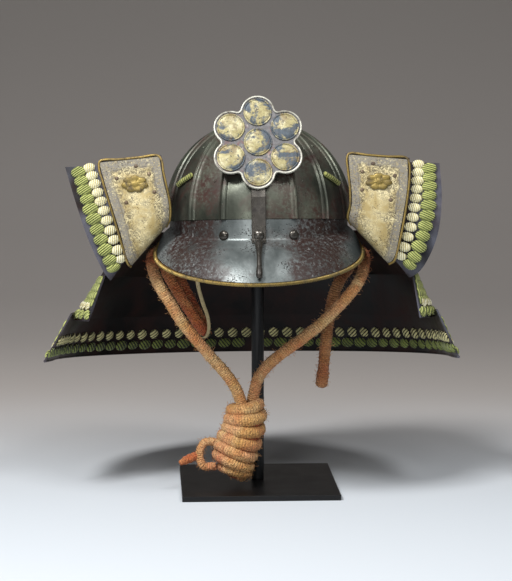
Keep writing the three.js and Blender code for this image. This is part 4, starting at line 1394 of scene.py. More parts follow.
@dataclass
class Crest:
    """Crest of seven discs on its strap and prong."""

    bowl: Bowl
    visor: Visor
    strap_width: float = 15.8
    strap_thick: float = 3.0
    strap_bottom: float = -23.5
    strap_bend: float = 24.0
    strap_top: float = 72.0
    lean: float = math.radians(13.7)
    level: float = 84.0
    lobes: int = 6
    ring: float = 34.5
    lobe_radius: float = 19.0
    hollow_ring: float = 44.8
    plate: float = 2.4
    bead: float = 2.0
    bead_height: float = 1.6
    disc_radius: float = 15.6
    prong_gap: float = 5.0
    # Place of the prong down the visor and its radius there
    prong_downs: Sequence[float] = (0.06, 0.12, 0.2, 0.34, 0.5, 0.72, 0.83, 0.9, 0.95, 0.97)
    prong_radii: Sequence[float] = (2.4, 5.0, 4.8, 3.3, 2.6, 2.7, 3.6, 3.7, 2.8, 1.2)

    def back_y(self, z: float) -> float:
        """Back face of the strap at a level."""
        upright = -(self.bowl.half_length + self.bowl.plate / 2 + CLEAR)
        return upright + max(z - self.strap_bend, 0.0) * math.tan(self.lean)

    def place(self) -> Matrix:
        """Frame of the crest's back face, +Z out of its front."""
        y = self.back_y(self.level) - (self.strap_thick + CLEAR) / math.cos(self.lean)
        shift = Matrix.Translation(Vector((0, y, self.level)) * MM)
        return HELMET_PLACE @ shift @ Matrix.Rotation(math.pi / 2 - self.lean, 4, "X")

    def outline(self, margin: float) -> list[tuple[float, float]]:
        """Outline of round lobes joined by small hollows, set in by a margin."""
        lobe_steps, hollow_steps = 16, 7
        step = 2 * math.pi / self.lobes
        x = self.hollow_ring * math.cos(step / 2) - self.ring
        y = self.hollow_ring * math.sin(step / 2)
        reach = math.atan2(y, x)
        hollow = math.hypot(x, y) - self.lobe_radius + margin
        pairs: list[tuple[float, float]] = []

        def arc(middle: float, ring: float, radius: float, start: float, sweep: float, count: int) -> None:
            """Adds an arc round a point of a ring."""
            x, y = ring * math.cos(middle), ring * math.sin(middle)
            for k in range(count):
                turn = start + sweep * k / count
                pairs.append((x + radius * math.cos(turn), y + radius * math.sin(turn)))

        for i in range(self.lobes):
            angle = math.pi / 2 + i * step
            arc(angle, self.ring, self.lobe_radius - margin, angle - reach, 2 * reach, lobe_steps)
            back = math.pi + angle + reach
            arc(angle + step / 2, self.hollow_ring, hollow, back, step - 2 * reach, hollow_steps)
        return pairs

    def build(self) -> None:
        """Makes and dresses the crest and its holder."""
        self.add_holder()
        self.add_plate()
        shares = [(0, 0), (1, 0), (1, 0.9), (0.98, 1.3), (0.95, 1.4), (0.92, 1.25), (0.9, 0.9), (0.88, 1.2)]
        shares += [(s, 1.4 + 0.45 * (1 - s ** 2)) for s in (0.8, 0.6, 0.4, 0.2, 0.0)]
        dome = [(self.disc_radius * share, z) for share, z in shares]
        for i in range(self.lobes + 1):
            angle = math.pi / 2 + 2 * math.pi * i / self.lobes
            reach, word = (self.ring, str(i + 1)) if i < self.lobes else (0.0, "centre")
            at = Vector((reach * math.cos(angle), reach * math.sin(angle), self.plate + CLEAR))
            place = self.place() @ Matrix.Translation(at * MM)
            disc = turned(f"crest_boss_{word}", dome, segments=48, place=place)
            dress(disc, CREST_LEAF, f"crest_disc_{word}")

    def layers(self, name: str, rings: Sequence[tuple[float, float]], closed: bool) -> Thing:
        """Solid of stacked outlines, each given by its margin and height."""
        outlines = [(self.outline(margin), z) for margin, z in rings]
        points = [(x, y, z) for pairs, z in outlines for x, y in pairs]
        faces = ring_faces(len(rings), len(outlines[0][0]), closed)
        return mesh_object(name, points, faces, self.place())

    def add_plate(self) -> None:
        """Lobed plate and its raised rim bead."""
        plate = self.layers("crest_ground", [(self.bead, 0.0), (self.bead, self.plate)], False)
        dress(keep_creases(plate), CREST_GROUND, "crest_plate")
        high, shoulder = self.plate + self.bead_height, 0.25
        section = [(0.0, 0.0), (0.0, high - 0.6), (shoulder, high - 0.15), (self.bead / 2, high)]
        section += [(self.bead - margin, z) for margin, z in section[2::-1]]
        dress(self.layers("crest_rim_bead", section, True), SILVER)

    def add_holder(self) -> None:
        """Strap from the visor up behind the crest, with its prong over the visor."""
        outwards = vec(0, -0.79, 0.61)

        def over(down: float, clearance: float) -> np.ndarray:
            """Point a clearance above the visor's middle line."""
            return self.visor.point(0.0, down) + outwards * (self.visor.thick / 2 + clearance)

        back = [(self.back_y(z), z) for z in (self.strap_bottom, self.strap_bend, self.strap_top)]
        front = [(y - self.strap_thick, z) for y, z in back[::-1]]
        line = [tuple(over(0.1, 0.8)[1:]), *back, *front, tuple(over(0.1, 3.4)[1:])]
        half = self.strap_width / 2
        points = [(x, y, z) for x in (-half, half) for y, z in line]
        strap = mesh_object("crest_strap", points, ring_faces(2, len(line)), HELMET_PLACE, smooth=False)
        dress(round_corners(strap, width=0.6, segments=2), DARK_STEEL, "crest_holder")
        first, last = self.prong_downs[0], self.prong_downs[-1]
        path = np.array([over(down, self.prong_gap) for down in np.linspace(first, last, 40)])
        length = path_length(path)

        def reach(along: float, _: float) -> float:
            """Radius of the prong."""
            return float(np.interp(lerp(first, last, along / length), self.prong_downs, self.prong_radii))

        dress(tube("crest_prong", path, reach, sides=20, place=HELMET_PLACE), DARK_STEEL)


@dataclass
class Lame:
    """Bottom edge of one lame, its reach to the front, its sag and the turn of its front ends."""

    half_width: float
    z: float
    forward: float
    sag: float
    tuck_top: float
    tuck_bottom: float


@dataclass
class WingRow:
    """Inner and outer edge of a turned-up lame end at one height, [left, right] of the front view."""

    inner: tuple[float, float]
    inner_y: float
    inner_z: float
    outer: tuple[float, float]
    outer_y: float
    outer_z: float


@dataclass
class Wing:
    """Turned-up front end of a lame."""

    inner: SmoothPath
    outer: SmoothPath
    side: Side
    bulge: float = 5.0
    step: float = 0.04

    def point(self, along: float, across: float) -> np.ndarray:
        """Point of the wing in the helmet's frame.

        Args:
            along: from the lame's end to the wing's top.
            across: from the inner to the outer edge.

        Returns:
            The point.
        """
        p = lerp(self.inner.at(along), self.outer.at(along), across)
        swell = self.bulge * math.sin(math.pi * across) * math.sin(math.pi * min(along * 1.3, 1.0))
        return p - vec(0, swell, 0)

    def upward(self, along: float, across: float) -> np.ndarray:
        """Direction up the wing."""
        above = self.point(min(along + self.step, 1.0), across)
        return unit(above - self.point(along - self.step, across))

    def front(self, along: float, across: float) -> np.ndarray:
        """Normal towards the front."""
        sideways = self.point(along, across + self.step) - self.point(along, across - self.step)
        return unit(np.cross(sideways * self.side.value, self.upward(along, across)))

    def spot(self, along: float, across: float, seat: float) -> Spot:
        """Spot on the wing's front, a seat's height above its middle."""
        front = self.front(along, across)
        return Spot(self.point(along, across) + front * seat, front, self.upward(along, across))


@dataclass
class NeckGuard:
    """Four laced lames; the upper two turn up in front as wings."""

    bowl: Bowl
    thick: float = 1.8
    lap: float = 8.0
    lap_step: float = 3.4
    top_width: float = 103.9
    top_z: float = -13.0
    back_share: float = 0.68
    lames: tuple[Lame, ...] = (
        Lame(147, -42, 56, 0, -15, 0),
        Lame(178, -63, 50, 0, -2.5, 8),
        Lame(207, -112, 58, -6, 5, 20),
        Lame(229, -157, 53, -9.5, 0, -5),
    )
    wing_rows: tuple[tuple[WingRow, ...], ...] = (
        (
            WingRow((108, 108), -70, -7, (146, 147), -68, -49),
            WingRow((101, 101), -80, 3, (148, 152), -79, -46),
            WingRow((99, 103), -84, 20, (156, 159), -86, -14),
            WingRow((104, 100), -84, 47, (171, 168), -85, 34),
            WingRow((108, 98), -81, 73, (180, 169), -81, 67),
        ),
        (
            WingRow((140, 140), -62, -29, (168, 170), -60, -66),
            WingRow((136, 136), -70, -24, (174, 182), -70, -57),
            WingRow((142, 140), -75, 2, (190, 199), -75, -22),
            WingRow((152, 148), -76, 34, (204, 205), -76, 20),
            WingRow((164, 156), -74, 63, (216, 203), -74, 61),
        ),
    )
    rows: int = 10
    wing_knots: int = 11
    wing_steps: int = 34
    facing_gap: float = 0.9
    facing_thick: float = 1.2
    facing_size: tuple[float, float] = (66.0, 108.0)
    lacing_end: float = 1.96

    @property
    def facing_top(self) -> float:
        """Height of the leather's face above the middle of its wing."""
        return self.thick / 2 + self.facing_gap + self.facing_thick

    def top_of(self, number: int) -> tuple[float, float, float]:
        """Half width, height and sag of a lame's upper edge."""
        if number == 0:
            return self.top_width, self.top_z, 0.0
        above, own = self.lames[number - 1], self.lames[number]
        slope = unit(vec(own.half_width - above.half_width, 0, own.z - above.z))
        width = above.half_width - self.lap * slope[0] - self.lap_step * slope[2]
        return width, above.z - self.lap * slope[2] + self.lap_step * slope[0], above.sag

    def point(self, number: int, side: int, station: float, v: float) -> np.ndarray:
        """Point of a lame's mid-surface.

        Args:
            number: of the lame, from 0 at the top.
            side: -1 or 1.
            station: 0 at the middle of the back, 1 at the side, 2 at the front end.
            v: from the upper edge to the lower.

        Returns:
            The point in the helmet's frame.
        """
        top_width, top_z, top_sag = self.top_of(number)
        own = self.lames[number]
        width = lerp(top_width, own.half_width, v)
        back = self.bowl.half_length + self.back_share * (width - self.top_width)
        turn = min(station, 1.0) * math.pi / 2
        ahead = max(station - 1.0, 0.0)
        spread = width * math.sin(turn) - ahead ** 2 * lerp(own.tuck_top, own.tuck_bottom, v)
        return vec(
            side * spread + lerp(top_sag, own.sag, v),
            back * math.cos(turn) - ahead * own.forward,
            lerp(top_z, own.z, v),
        )

    def normal(self, number: int, side: int, station: float, v: float) -> np.ndarray:
        """Normal of a lame out of the helmet."""
        s0, s1 = max(station - 0.03, 0.0), min(station + 0.03, 2.0)
        v0, v1 = max(v - 0.05, 0.0), min(v + 0.05, 1.0)
        along = self.point(number, side, s1, v) - self.point(number, side, s0, v)
        down = self.point(number, side, station, v1) - self.point(number, side, station, v0)
        normal = unit(np.cross(along, down))
        away = self.point(number, side, station, v) * vec(1, 1, 0)
        return normal if float(np.dot(normal, away)) > 0 else -normal

    def wing(self, number: int, side: Side) -> Wing:
        """Wing of one of the two upper lames."""
        pick = 0 if side is Side.LEFT else 1
        s = side.value
        rows = self.wing_rows[number]
        inner = [vec(s * r.inner[pick], r.inner_y, r.inner_z) for r in rows]
        outer = [vec(s * r.outer[pick], r.outer_y, r.outer_z) for r in rows]
        starts = [self.point(number, s, 2.0, v) for v in (0.0, 1.0)]
        return Wing(SmoothPath([starts[0], *inner]), SmoothPath([starts[1], *outer]), side)

    def build(self) -> None:
        """Makes and dresses the lames, their wings and the lacing."""
        stations = [i / 26 for i in range(26)] + [1 + i / 12 for i in range(13)]
        levels = np.linspace(0, 1, self.rows)
        for number in range(len(self.lames)):
            halves = []
            for side in Side:
                columns = [[self.point(number, side.value, s, v) for v in levels] for s in stations]
                if number < len(self.wing_rows):
                    wing = self.wing(number, side)
                    alongs = [i / self.wing_steps for i in range(1, self.wing_steps + 1)]
                    columns += [[wing.point(along, v) for v in levels] for along in alongs]
                halves.append(columns)
            grid = np.array(halves[0][:0:-1] + halves[1])
            dress(wall(f"lacquer_lame_{number + 1}", grid, self.thick), LACQUER, f"lame_{number + 1}")
        self.add_edge()
        for side in Side:
            self.add_wing_trim(side)
        self.add_inner_lacing()
        self.add_outer_lacing()

    def add_edge(self) -> None:
        """Thin turned rim along the lower edge of the bottom lame."""
        number, radius = len(self.lames) - 1, 1.5
        path = [self.point(number, -1, s, 1.0) for s in np.linspace(2.0, 0.0, 60)]
        path += [self.point(number, 1, s, 1.0) for s in np.linspace(0.0, 2.0, 60)[1:]]
        rope("lame_4_edge", np.array(path), radius, LACQUER)

    def add_wing_trim(self, side: Side) -> None:
        """Gilt leather facing, brass rim, emblem and small rivets of an upper wing."""
        wing = self.wing(0, side)
        self.add_facing(wing)
        rim_radius, rim_seat = 1.25, self.thick / 2 + 0.6 + 1.7
        climb = [0.26, 0.4, 0.55, 0.7, 0.85, 0.95]
        route = [(a, 0.006) for a in climb] + [(0.995, c) for c in (0.05, 0.35, 0.65, 0.95)]
        route += [(a, 0.994) for a in climb[::-1]]
        path = SmoothPath([wing.spot(a, c, rim_seat).at for a, c in route]).spaced(240)
        rope(f"brass_rim_{side.word}", path, rim_radius, GILT, f"wing_rim_{side.word}")
        self.add_emblem(wing)
        places = ((0.93, 0.42), (0.855, 0.24), (0.86, 0.76), (0.72, 0.22), (0.715, 0.72))
        spots = [wing.spot(along, across, self.facing_top) for along, across in places]
        head = SmallShape("wing_rivet", 4.4, 4.4, 1.0).dome()
        studs(f"wing_rivets_{side.word}", head, spots, BROWN_STEEL)

    def add_facing(self, wing: Wing) -> None:
        """Gilt leather on an upper wing, with its distance from the edge as an attribute."""
        acrosses = np.linspace(0.035, 0.965, 26)
        grid = np.array([[wing.point(a, c) for c in acrosses] for a in np.linspace(0.22, 0.985, 40)])
        proud = wing.side.value * (self.thick / 2 + self.facing_gap + self.facing_thick / 2)
        facing = wall(f"gilt_facing_{wing.side.word}", grid, self.facing_thick, proud)
        width, height = self.facing_size
        rows, columns = (np.linspace(0.0, 1.0, count) for count in grid.shape[:2])
        reach = [
            min(c * width, (1 - c) * width, (1 - r) * height, 4 + r * height) for r in rows for c in columns
        ]
        layer = facing.data.attributes.new("rim", "FLOAT", "POINT")
        layer.data.foreach_set("value", np.array(reach * 2, dtype=np.float32))
        dress(facing, LEATHER, f"wing_facing_{wing.side.word}")

    def add_emblem(self, wing: Wing) -> None:
        """Gilt blossom emblem with domed petals."""
        lobes, width, height = 7, 30, 19
        seat = wing.spot(0.8, 0.5, self.facing_top + 2 * CLEAR)
        level = unit(vec(1, 0, 0) - seat.facing * seat.facing[0])
        upright = np.cross(seat.facing, level)
        # Share of the outline and lift of each ring, from the foot over the petals to the boss
        rings = [
            (1.0, 0.0), (1.0, 0.9), (0.93, 1.7), (0.8, 2.1), (0.62, 2.0), (0.45, 1.6), (0.34, 1.5),
            (0.28, 2.0), (0.16, 2.4),
        ]
        points: list[np.ndarray] = []
        turns = angles(lobes * 10)
        for scale, lift in rings:
            for a in turns:
                petal = abs(math.cos(lobes * (a - math.pi / 2) / 2))
                reach = (0.9 + 0.2 * petal) * 0.46 * scale
                dent = 0.75 * (1 - petal) ** 2 if 0.4 <= scale <= 0.95 else 0.0
                x, y = width * reach * math.cos(a), height * reach * math.sin(a)
                z = max(lift - dent, 0.2 if lift else 0.0)
                points.append(seat.at + level * x + upright * y + seat.facing * z)
        faces = ring_faces(len(rings), len(turns))
        emblem = mesh_object(f"blossom_{wing.side.word}", points, faces, HELMET_PLACE)
        dress(emblem, BLOSSOM, f"wing_emblem_{wing.side.word}")

    def add_inner_lacing(self) -> None:
        """Rows of silk knots on the front of the outer wings and inside the bottom lame."""
        inner_creams: list[Spot] = []
        inner_greens: list[Spot] = []
        bottom, pitch, last = len(self.lames) - 1, 17.2, self.wing_knots - 1
        for side in Side:
            wing = self.wing(1, side)
            alongs = [lerp(0.385, 0.988, (k / last) ** 0.86) for k in range(self.wing_knots)]
            creams = [wing.spot(along, 0.5, self.thick / 2) for along in alongs]
            greens = [wing.spot(along - 0.022, 0.75, self.thick / 2) for along in alongs]
            word, lean = side.word, -side.value
            cream = SmallShape(f"cream_knot_{word}", 14.6, 11.2, 4.4).knot(slant=lean * 1.15, strands=7)
            green = SmallShape(f"green_knot_{word}", 18.6, 13.4, 5.0).knot(slant=lean * 0.27, strands=7)
            studs(f"wing_lacing_cream_{word}", cream, creams, CREAM, unevenness=0.07, seed=5)
            studs(f"wing_lacing_green_{word}", green, greens, GREEN, unevenness=0.07, seed=8)
            ends = self.course(bottom, side.value, 0.68)
            count = int(path_length(ends) / pitch)
            for k in range(count):
                for spots, step, v in ((inner_creams, 0.5, 0.57), (inner_greens, 1.0, 0.81)):
                    station = self.station_at(ends, (k + step) / count)
                    spots.append(self.lame_spot(bottom, side.value, station, v, inside=True))
        cream = SmallShape("inner_cream", 13.0, 13.4, 3.6).knot(slant=0.7, strands=5)
        green = SmallShape("inner_green", 16.5, 13.0, 3.6).knot(slant=-0.9, strands=5)
        # painted shade: the knots inside take the darker, shaded copies of the silk
        studs("inner_row_cream", cream, inner_creams, SHADED_CREAM, unevenness=0.07, seed=6)
        studs("inner_row_green", green, inner_greens, SHADED_GREEN, unevenness=0.07, seed=7)

    def add_outer_lacing(self) -> None:
        """Close lacing outside the lames: upright cords over each lap and a knot row below."""
        cords: list[Spot] = []
        creams: list[Spot] = []
        greens: list[Spot] = []
        pitch, cord_pitch, cream_up, green_up = 7.4, 9.0, 17.5, 7.0
        for number in range(1, len(self.lames)):
            height = path_length(np.array([self.point(number, 1, 0.5, v) for v in (0.0, 1.0)]))
            drops = np.arange(self.lap + 5, height - 21, cord_pitch)
            for side in (-1, 1):
                ends = self.course(number, side, 0.5)
                count = int(path_length(ends) / pitch)
                for k in range(count):
                    station = self.station_at(ends, (k + 0.5) / count)
                    cords += [self.lame_spot(number, side, station, drop / height) for drop in drops]
                    row, up = (greens, green_up) if k % 2 else (creams, cream_up)
                    row.append(self.lame_spot(number, side, station, 1 - up / height))
        cord = SmallShape("lacing_cord", 6.6, 11.0, 2.0).pillow()
        cream = SmallShape("outer_cream", 13.5, 11.5, 3.6).knot(slant=0.7, strands=4)
        green = SmallShape("outer_green", 15.0, 12.5, 4.2).knot(slant=0.9, strands=4)
        studs("outer_lacing", cord, cords, GREEN, unevenness=0.04, seed=11)
        studs("outer_row_cream", cream, creams, CREAM, unevenness=0.05, seed=12)
        studs("outer_row_green", green, greens, GREEN, unevenness=0.05, seed=13)

    def course(self, number: int, side: int, v: float) -> np.ndarray:
        """Points along half a lame, from the middle of the back to where the lacing ends."""
        return np.array([self.point(number, side, s, v) for s in np.linspace(0, self.lacing_end, 80)])

    def station_at(self, ends: np.ndarray, share: float) -> float:
        """Station at a share of the length of a course."""
        run = run_along(ends)
        return float(np.interp(share * run[-1], run, np.linspace(0, self.lacing_end, len(ends))))

    def lame_spot(self, number: int, side: int, station: float, v: float, inside: bool = False) -> Spot:
        """Spot on the outer or the inner face of a lame."""
        at = self.point(number, side, station, v)
        if inside:
            facing, up = -self.normal(number, side, station, v), vec(0, 0, 1)
        else:
            facing = self.normal(number, side, station, v)
            up = unit(self.point(number, side, station, max(v - 0.1, 0.0)) - at)
        return Spot(at + facing * self.thick / 2, facing, up)


@dataclass
class CrownCords:
    """Two short green cords on the bowl."""

    bowl: Bowl
    radius: float = 3.0
    end_length: float = 2.0

    def build(self) -> None:
        """Makes and dresses both cords."""
        offset = self.bowl.plate / 2 + self.radius - CLEAR
        for side in Side:
            path = []
            for t in np.linspace(0, 1, 26):
                turn, rise = math.radians(lerp(63, 48.5, t)), math.radians(lerp(19, 25, t))
                path.append(self.bowl.point(side.value * turn, rise, offset))
            points = np.array(path)
            length = path_length(points)

            def reach(along: float, turn: float) -> float:
                """Plaited cord with rounded ends."""
                end = min(along, length - along) / self.end_length
                plait = 0.93 + 0.07 * math.cos(2 * turn + along * 1.6)
                return self.radius * min(1.0, math.sqrt(min(end, 1.0)) + 0.3) * plait

            piece = tube(f"green_cord_{side.word}", points, reach, sides=14, place=HELMET_PLACE)
            dress(piece, GREEN_BRAID, f"crown_cord_{side.word}")


def ripple(waves: Points, along: float, turn: float) -> float:
    """Mean of waves along and round a cord, each given by its rate, phase and turns round."""
    return sum(math.sin(k * along + p + n * turn) for k, p, n in waves) / len(waves)


@dataclass
class ChinCord:
    """Chin cord of crinkled crepe: loop, bight, free end, wound knot, small loop and tail, and a thong."""

    radius: float = 6.75
    loop: Points = (
        (-17.5, -46, 98), (-20.5, -47, 111), (-27, -49, 126), (-39, -50, 143), (-54, -53, 160),
        (-70, -56, 180), (-85, -58, 199), (-100, -58, 223), (-113, -55, 244), (-120, -42, 262),
        (-120, -26, 274), (-112, -13, 278), (-101, -3, 279), (-92, 7, 283), (-88, 18, 291),
        (-86, 32, 296), (-71, 67, 294), (-39.5, 95, 291), (0, 105, 290), (39.5, 95, 291),
        (71, 67, 294), (86, 32, 296), (88, 18, 291), (92, 7, 283), (101, -3, 279), (112, -13, 279),
        (121, -26, 275), (121, -42, 263), (115, -54, 247), (103, -57, 231), (80, -56, 206),
        (55, -54, 184), (30, -50, 165), (12, -44, 149), (0, -38, 131), (-5, -34.2, 111), (-7.5, -33, 98),
    )
    bight: Points = (
        (-106, -9, 268), (-105, -24, 256), (-95, -32, 238), (-81, -36, 216), (-69, -37, 197), (-62, -30, 187),
        (-64, -20, 193), (-75, -15, 214), (-87, -9, 238), (-95, 0, 257), (-97, 5, 268),
    )
    free_end: Points = (
        (106, -9, 269), (104, -23, 258), (95, -31, 247), (88, -33, 232), (84, -33, 214), (80, -31, 190),
        (77, -30, 160), (75, -30, 138), (73, -29, 120.5),
    )
    knot_loop: Points = (
        (-48, -37, 57.5), (-53.8, -38, 58.7), (-61, -40, 58), (-66, -42, 50), (-66.5, -43, 40),
        (-62.5, -44, 31.5), (-54.2, -43, 30.6), (-48, -42, 31),
    )
    tail: Points = ((-68, -42, 44), (-73.2, -42, 42), (-78, -43, 40), (-84, -44, 37.5), (-90, -45, 34.5))
    thong: Points = (
        (-66.6, -81.8, 302), (-69, -73, 284), (-69, -58, 262), (-68, -48, 242), (-63, -46, 222),
        (-57, -45, 204), (-56, -41, 189), (-60, -34, 179.5), (-66, -29, 178.6),
    )
    knot_y: float = -34.5
    loop_radius: float = 4.8
    thong_width: float = 4.5
    core_inset: float = 5.0
    # Middle, level, radius and slant in degrees of each wrap of the knot, from the top down
    wraps: tuple[tuple[float, float, float, float], ...] = (
        (-13.2, 100.5, 21.9, -6), (-14.3, 88.5, 25.4, 2), (-15.5, 75, 24.8, 12), (-20.2, 62, 26.5, 22),
        (-25, 50.5, 27.7, 28), (-29, 38.5, 28, 29), (-29, 28.5, 24, 24), (-27, 19, 15, 13),
    )

    @staticmethod
    def declare(piece: Thing, points: np.ndarray, diameter: float, far_end: str) -> None:
        """Logs a hanging cord's length, from its path given in millimetres."""
        length = path_length(points)
        log.info("%s is %.0f mm long", piece.name, length)

    def cord(
        self, name: str, route: Points, radius: float, finish: Finish, node: str, far_end: str, seed: int
    ) -> Thing:
        """One length of the cord, crinkled and a little uneven; a bare far end is pressed flat and frayed.

        Args:
            name: of the piece.
            route: points in millimetres.
            radius: of the cord in millimetres.
            finish: its finish.
            node: CAD node that it replaces.
            far_end: what the far end is.
            seed: of the crinkle.

        Returns:
            The dressed piece, its length logged.
        """
        smooth, step, frayed = SmoothPath(route), 1.25, 18
        points = smooth.spaced(max(int(path_length(smooth.spaced(200)) / step), 30))
        length = path_length(points)
        chance = random.Random(seed)
        many, slow, turns = 9, 0.35, (-6, -5, -4, -3, 3, 4, 5, 6)
        waves = [
            (slow * chance.uniform(0.12, 0.9), chance.uniform(0, PHASES), chance.randint(0, 3))
            for _ in range(many)
        ]
        folds = [
            (chance.uniform(0.5, 1.9), chance.uniform(0, PHASES), chance.choice(turns)) for _ in range(many)
        ]

        mean, swelling, crinkle = 0.96, 0.08, 0.16

        def reach(along: float, turn: float) -> float:
            """Radius with slow swelling and fine crinkle."""
            swell = swelling * ripple(waves, along, turn)
            value = radius * (mean + swell + crinkle * ripple(folds, along, turn))
            left = length - along
            if far_end == "bare" and left < frayed:
                value *= (1.0 + 0.12 * math.cos(turn) ** 2) * min(1.0, math.sqrt(left / 4 + 0.25))
            return value

        piece = dress(tube(name, points, reach, sides=24), finish, node)
        self.declare(piece, points, 2 * radius, far_end)
        return piece

    def wrap_at(self, turn: float) -> tuple[float, float, float, float]:
        """Middle, level, radius and slant of the winding at a wrap, between two wraps or past the ends."""
        first = min(max(int(math.floor(turn)), 0), len(self.wraps) - 2)
        pairs = zip(self.wraps[first], self.wraps[first + 1])
        x, z, radius, slant = (lerp(p, q, turn - first) for p, q in pairs)
        return x, z, radius, math.radians(slant)

    def wrap_point(self, turn: float, angle: float, inset: float) -> np.ndarray:
        """Point round a wrap, set in from its outside."""
        x, z, radius, slant = self.wrap_at(turn)
        across, deep = (radius - inset) * math.cos(angle), (radius - inset) * math.sin(angle)
        return vec(x + across * math.cos(slant), self.knot_y - deep, z - across * math.sin(slant))

    def add_knot(self) -> Thing:
        """Winding of the cord round itself, with its core."""
        last = len(self.wraps) - 1
        turns = np.linspace(-0.1, last + 0.1, 44 * len(self.wraps))
        halves = [0.292 * (self.wrap_at(t - 1)[1] - self.wrap_at(t + 1)[1]) for t in turns]
        line = np.array([self.wrap_point(t, 2 * math.pi * t + 0.5, h) for t, h in zip(turns, halves)])
        run = run_along(line)
        chance = random.Random(21)
        folds = [
            (chance.uniform(0.4, 1.6), chance.uniform(0, PHASES), chance.randint(-6, 6)) for _ in range(10)
        ]

        def reach(along: float, turn: float) -> float:
            """Thickness of the wound cord, pressed between its neighbours."""
            end = min(1.0, math.sqrt(min(along, run[-1] - along) / 6 + 0.15))
            return float(np.interp(along, run, halves)) * end * (1.0 + 0.16 * ripple(folds, along, turn))

        winding = dress(tube("wound_knot", line, reach, sides=20), CREPE, "chin_cord_knot")
        around, levels = angles(24), np.linspace(-0.25, last + 0.3, 26)
        points = [self.wrap_point(t, angle, self.core_inset) for t in levels for angle in around]
        faces = ring_faces(len(levels), len(around))
        uv = [(p[0] * MM, p[2] * MM) for p in points]
        dress(mesh_object("knot_core", points, faces, WORLD_PLACE, uv), CREPE_RED)
        return winding

    def add_tail(self) -> None:
        """Short tapered end that comes out of the knot."""
        middle, half_length, radius = 10, 15.5, 5.2

        def reach(along: float, turn: float) -> float:
            """Radius of the tail."""
            taper = math.sqrt(max(1 - ((along - middle) / half_length) ** 2, 0.02))
            return radius * taper + 0.3 * math.sin(2 * turn + along)

        tail = tube("knot_tail_end", SmoothPath(self.tail).spaced(30), reach, sides=16)
        dress(tail, CREPE_RED, "chin_cord_tail")

    def add_thong(self) -> None:
        """Pale leather thong at the left bight."""
        points = SmoothPath(self.thong).spaced(110)
        length = path_length(points)

        def reach(along: float, _: float) -> float:
            """Half width of the thong."""
            return lerp(2.6, 1.9, along / length)

        strip = tube("pale_thong_strip", points, reach, sides=12, flatten=0.36)
        piece = dress(strip, THONG, "chin_thong")
        self.declare(piece, points, self.thong_width, "bare")

    def add_fibres(self, cords: Sequence[Thing]) -> None:
        """Loose fibres that stand out of the worn crepe."""
        values = {"Density": 52000.0, "Length": 3.6 * MM, "Radius": 0.14 * MM, "Finish": CREPE.material()}
        for number, cord in enumerate(cords):
            carrier = link("fibre_ground", cord.data.copy())
            values["Seed"] = 40 + number
            dress(Repeat.make(f"loose_fibres_{number + 1}", carrier, values, Repeat.fibres), CREPE)

    def build(self) -> None:
        """Makes and dresses the whole chin cord."""
        r, small = self.radius, self.loop_radius
        cords = [
            self.cord("chin_loop", self.loop, r, CREPE, "chin_cord_loop", "object", 1),
            self.cord("left_bight", self.bight, r, CREPE_RED, "chin_cord_left_bight", "object", 2),
            self.cord("right_free_end", self.free_end, r, CREPE_BROWN, "chin_cord_right_end", "bare", 3),
            self.add_knot(),
            self.cord("knot_side_loop", self.knot_loop, small, CREPE, "chin_cord_knot_loop", "object", 4),
        ]
        self.add_tail()
        self.add_thong()
        self.add_fibres(cords)


@dataclass
class Stand:
    """Plain black stand: base plate, post and the hidden cap under the crown."""

    bowl: Bowl
    side: float = 180.0
    thick: float = 6.5
    turn: float = math.radians(3)
    post_radius: float = 7.2
    post_top: float = 419.0
    cap_radius: float = 42.0
    cap_thick: float = 5.0
    cap_gap: float = 1.2

    def build(self) -> None:
        """Makes and dresses the stand."""
        half = self.side / 2
        square = ((-half, -half), (half, -half), (half, half), (-half, half))
        corners = [(x, y, z) for z in (0.0, self.thick) for x, y in square]
        place = Matrix.Rotation(self.turn, 4, "Z")
        base = mesh_object("base_plate", corners, ring_faces(2, len(square)), place, smooth=False)
        dress(round_corners(base, width=0.8, segments=3), STAND, "stand_base")
        r, foot, edge = self.post_radius, self.thick + CLEAR, 0.4
        post = [(0, foot), (r - edge, foot), (r, foot + edge), (r, self.post_top), (0, self.post_top)]
        dress(turned("post_rod", post, segments=40, place=WORLD_PLACE), STAND, "stand_post")
        under = -(self.bowl.plate / 2 + self.cap_gap) - self.cap_thick
        cap = self.bowl.dome_shell(self.cap_radius, under, self.cap_thick)
        dress(turned("post_cap", cap, segments=48, stretch=self.bowl.stretch), STAND)


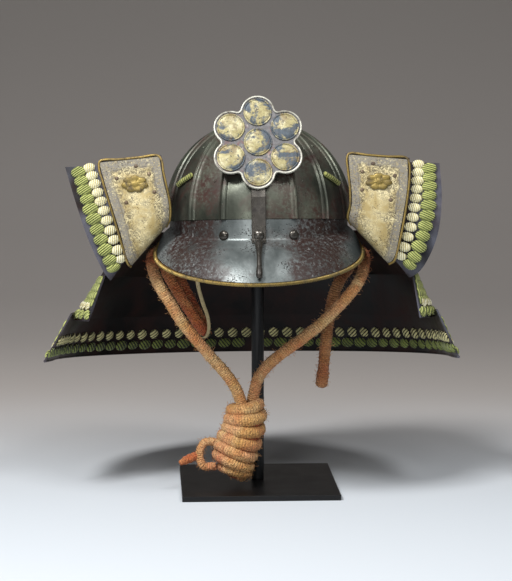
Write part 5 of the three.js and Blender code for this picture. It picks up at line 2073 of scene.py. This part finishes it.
@dataclass
class Studio:
    """Pale floor, grey backdrop, soft lights and the camera at the photograph's view."""

    focal: float = 2130.0
    image_width: int = 512
    sensor: float = 36.0
    eye: tuple[float, float, float] = (-0.002, -2.450, 0.530)
    tilt: float = math.radians(83)
    half_floor: float = 6.0
    # Way back and height of the floor's line, in metres
    sweep: Points = (
        (-6.0, 0.0), (0.6, 0.0), (1.2, 0.0), (1.6, 0.02), (2.0, 0.1), (2.4, 0.3), (2.7, 0.7),
        (2.9, 1.4), (3.0, 4.0),
    )
    surroundings: tuple[float, float, float] = (0.8, 0.82, 0.85)
    surroundings_strength: float = 0.07

    def add_camera(self) -> None:
        """Camera at the photograph's view."""
        data = bpy.data.cameras.new("front_camera")
        data.sensor_fit = "HORIZONTAL"
        data.sensor_width = self.sensor
        data.lens = self.focal / self.image_width * self.sensor
        camera = link("front_camera", data)
        camera.location = self.eye
        camera.rotation_euler = (self.tilt, 0.0, 0.0)
        bpy.context.scene.camera = camera

    def add_floor(self) -> None:
        """Floor that sweeps up into the backdrop."""
        sides = (-self.half_floor, self.half_floor)
        points = [(x / MM, y / MM, z / MM) for y, z in self.sweep for x in sides]
        faces = [(2 * i, 2 * i + 1, 2 * i + 3, 2 * i + 2) for i in range(len(self.sweep) - 1)]
        floor = mesh_object("studio_sweep", points, faces, WORLD_PLACE, outward=False)
        floor.data.materials.append(PAPER.material())

    def add_light(
        self, name: str, at: Sequence[float], aim: Sequence[float], size: Sequence[float], power: float
    ) -> None:
        """One soft area light."""
        data = bpy.data.lights.new(name, "AREA")
        data.shape = "RECTANGLE"
        data.size, data.size_y = size
        data.energy = power
        light = link(name, data)
        light.location = at
        light.rotation_euler = (Vector(aim) - Vector(at)).to_track_quat("-Z", "Y").to_euler()

    def build(self) -> None:
        """Sets up camera, floor, lights and surroundings."""
        self.add_camera()
        self.add_floor()
        self.add_light("top_box", (0.0, -1.3, 1.5), (0.0, 0.0, 0.3), (0.8, 0.5), 7.0)
        self.add_light("front_box", (-0.5, -2.1, 0.75), (0.0, 0.0, 0.2), (0.5, 0.5), 7.0)
        self.add_light("left_box", (-0.75, -0.95, 1.65), (0.0, -0.2, 0.2), (0.4, 0.4), 34.0)
        self.add_light("right_box", (0.75, -0.95, 1.65), (0.0, -0.2, 0.2), (0.4, 0.4), 12.0)
        bpy.context.scene.view_settings.view_transform = "Standard"
        world = bpy.data.worlds.new("soft_surroundings")
        bpy.context.scene.world = world
        world.use_nodes = True
        colour, strength = list(world.node_tree.nodes["Background"].inputs)[:2]
        colour.default_value = (*self.surroundings, 1.0)
        strength.default_value = self.surroundings_strength


def main() -> None:
    """Builds the studio and every sub-assembly in order."""
    logging.basicConfig(level=logging.INFO, format="%(name)s: %(message)s")
    Studio().build()
    ChinCord().build()
    bowl = Bowl()
    bowl.build()
    visor = Visor(bowl)
    visor.build()
    Crest(bowl, visor).build()
    NeckGuard(bowl).build()
    CrownCords(bowl).build()
    Stand(bowl).build()


if __name__ == "__main__":
    main()
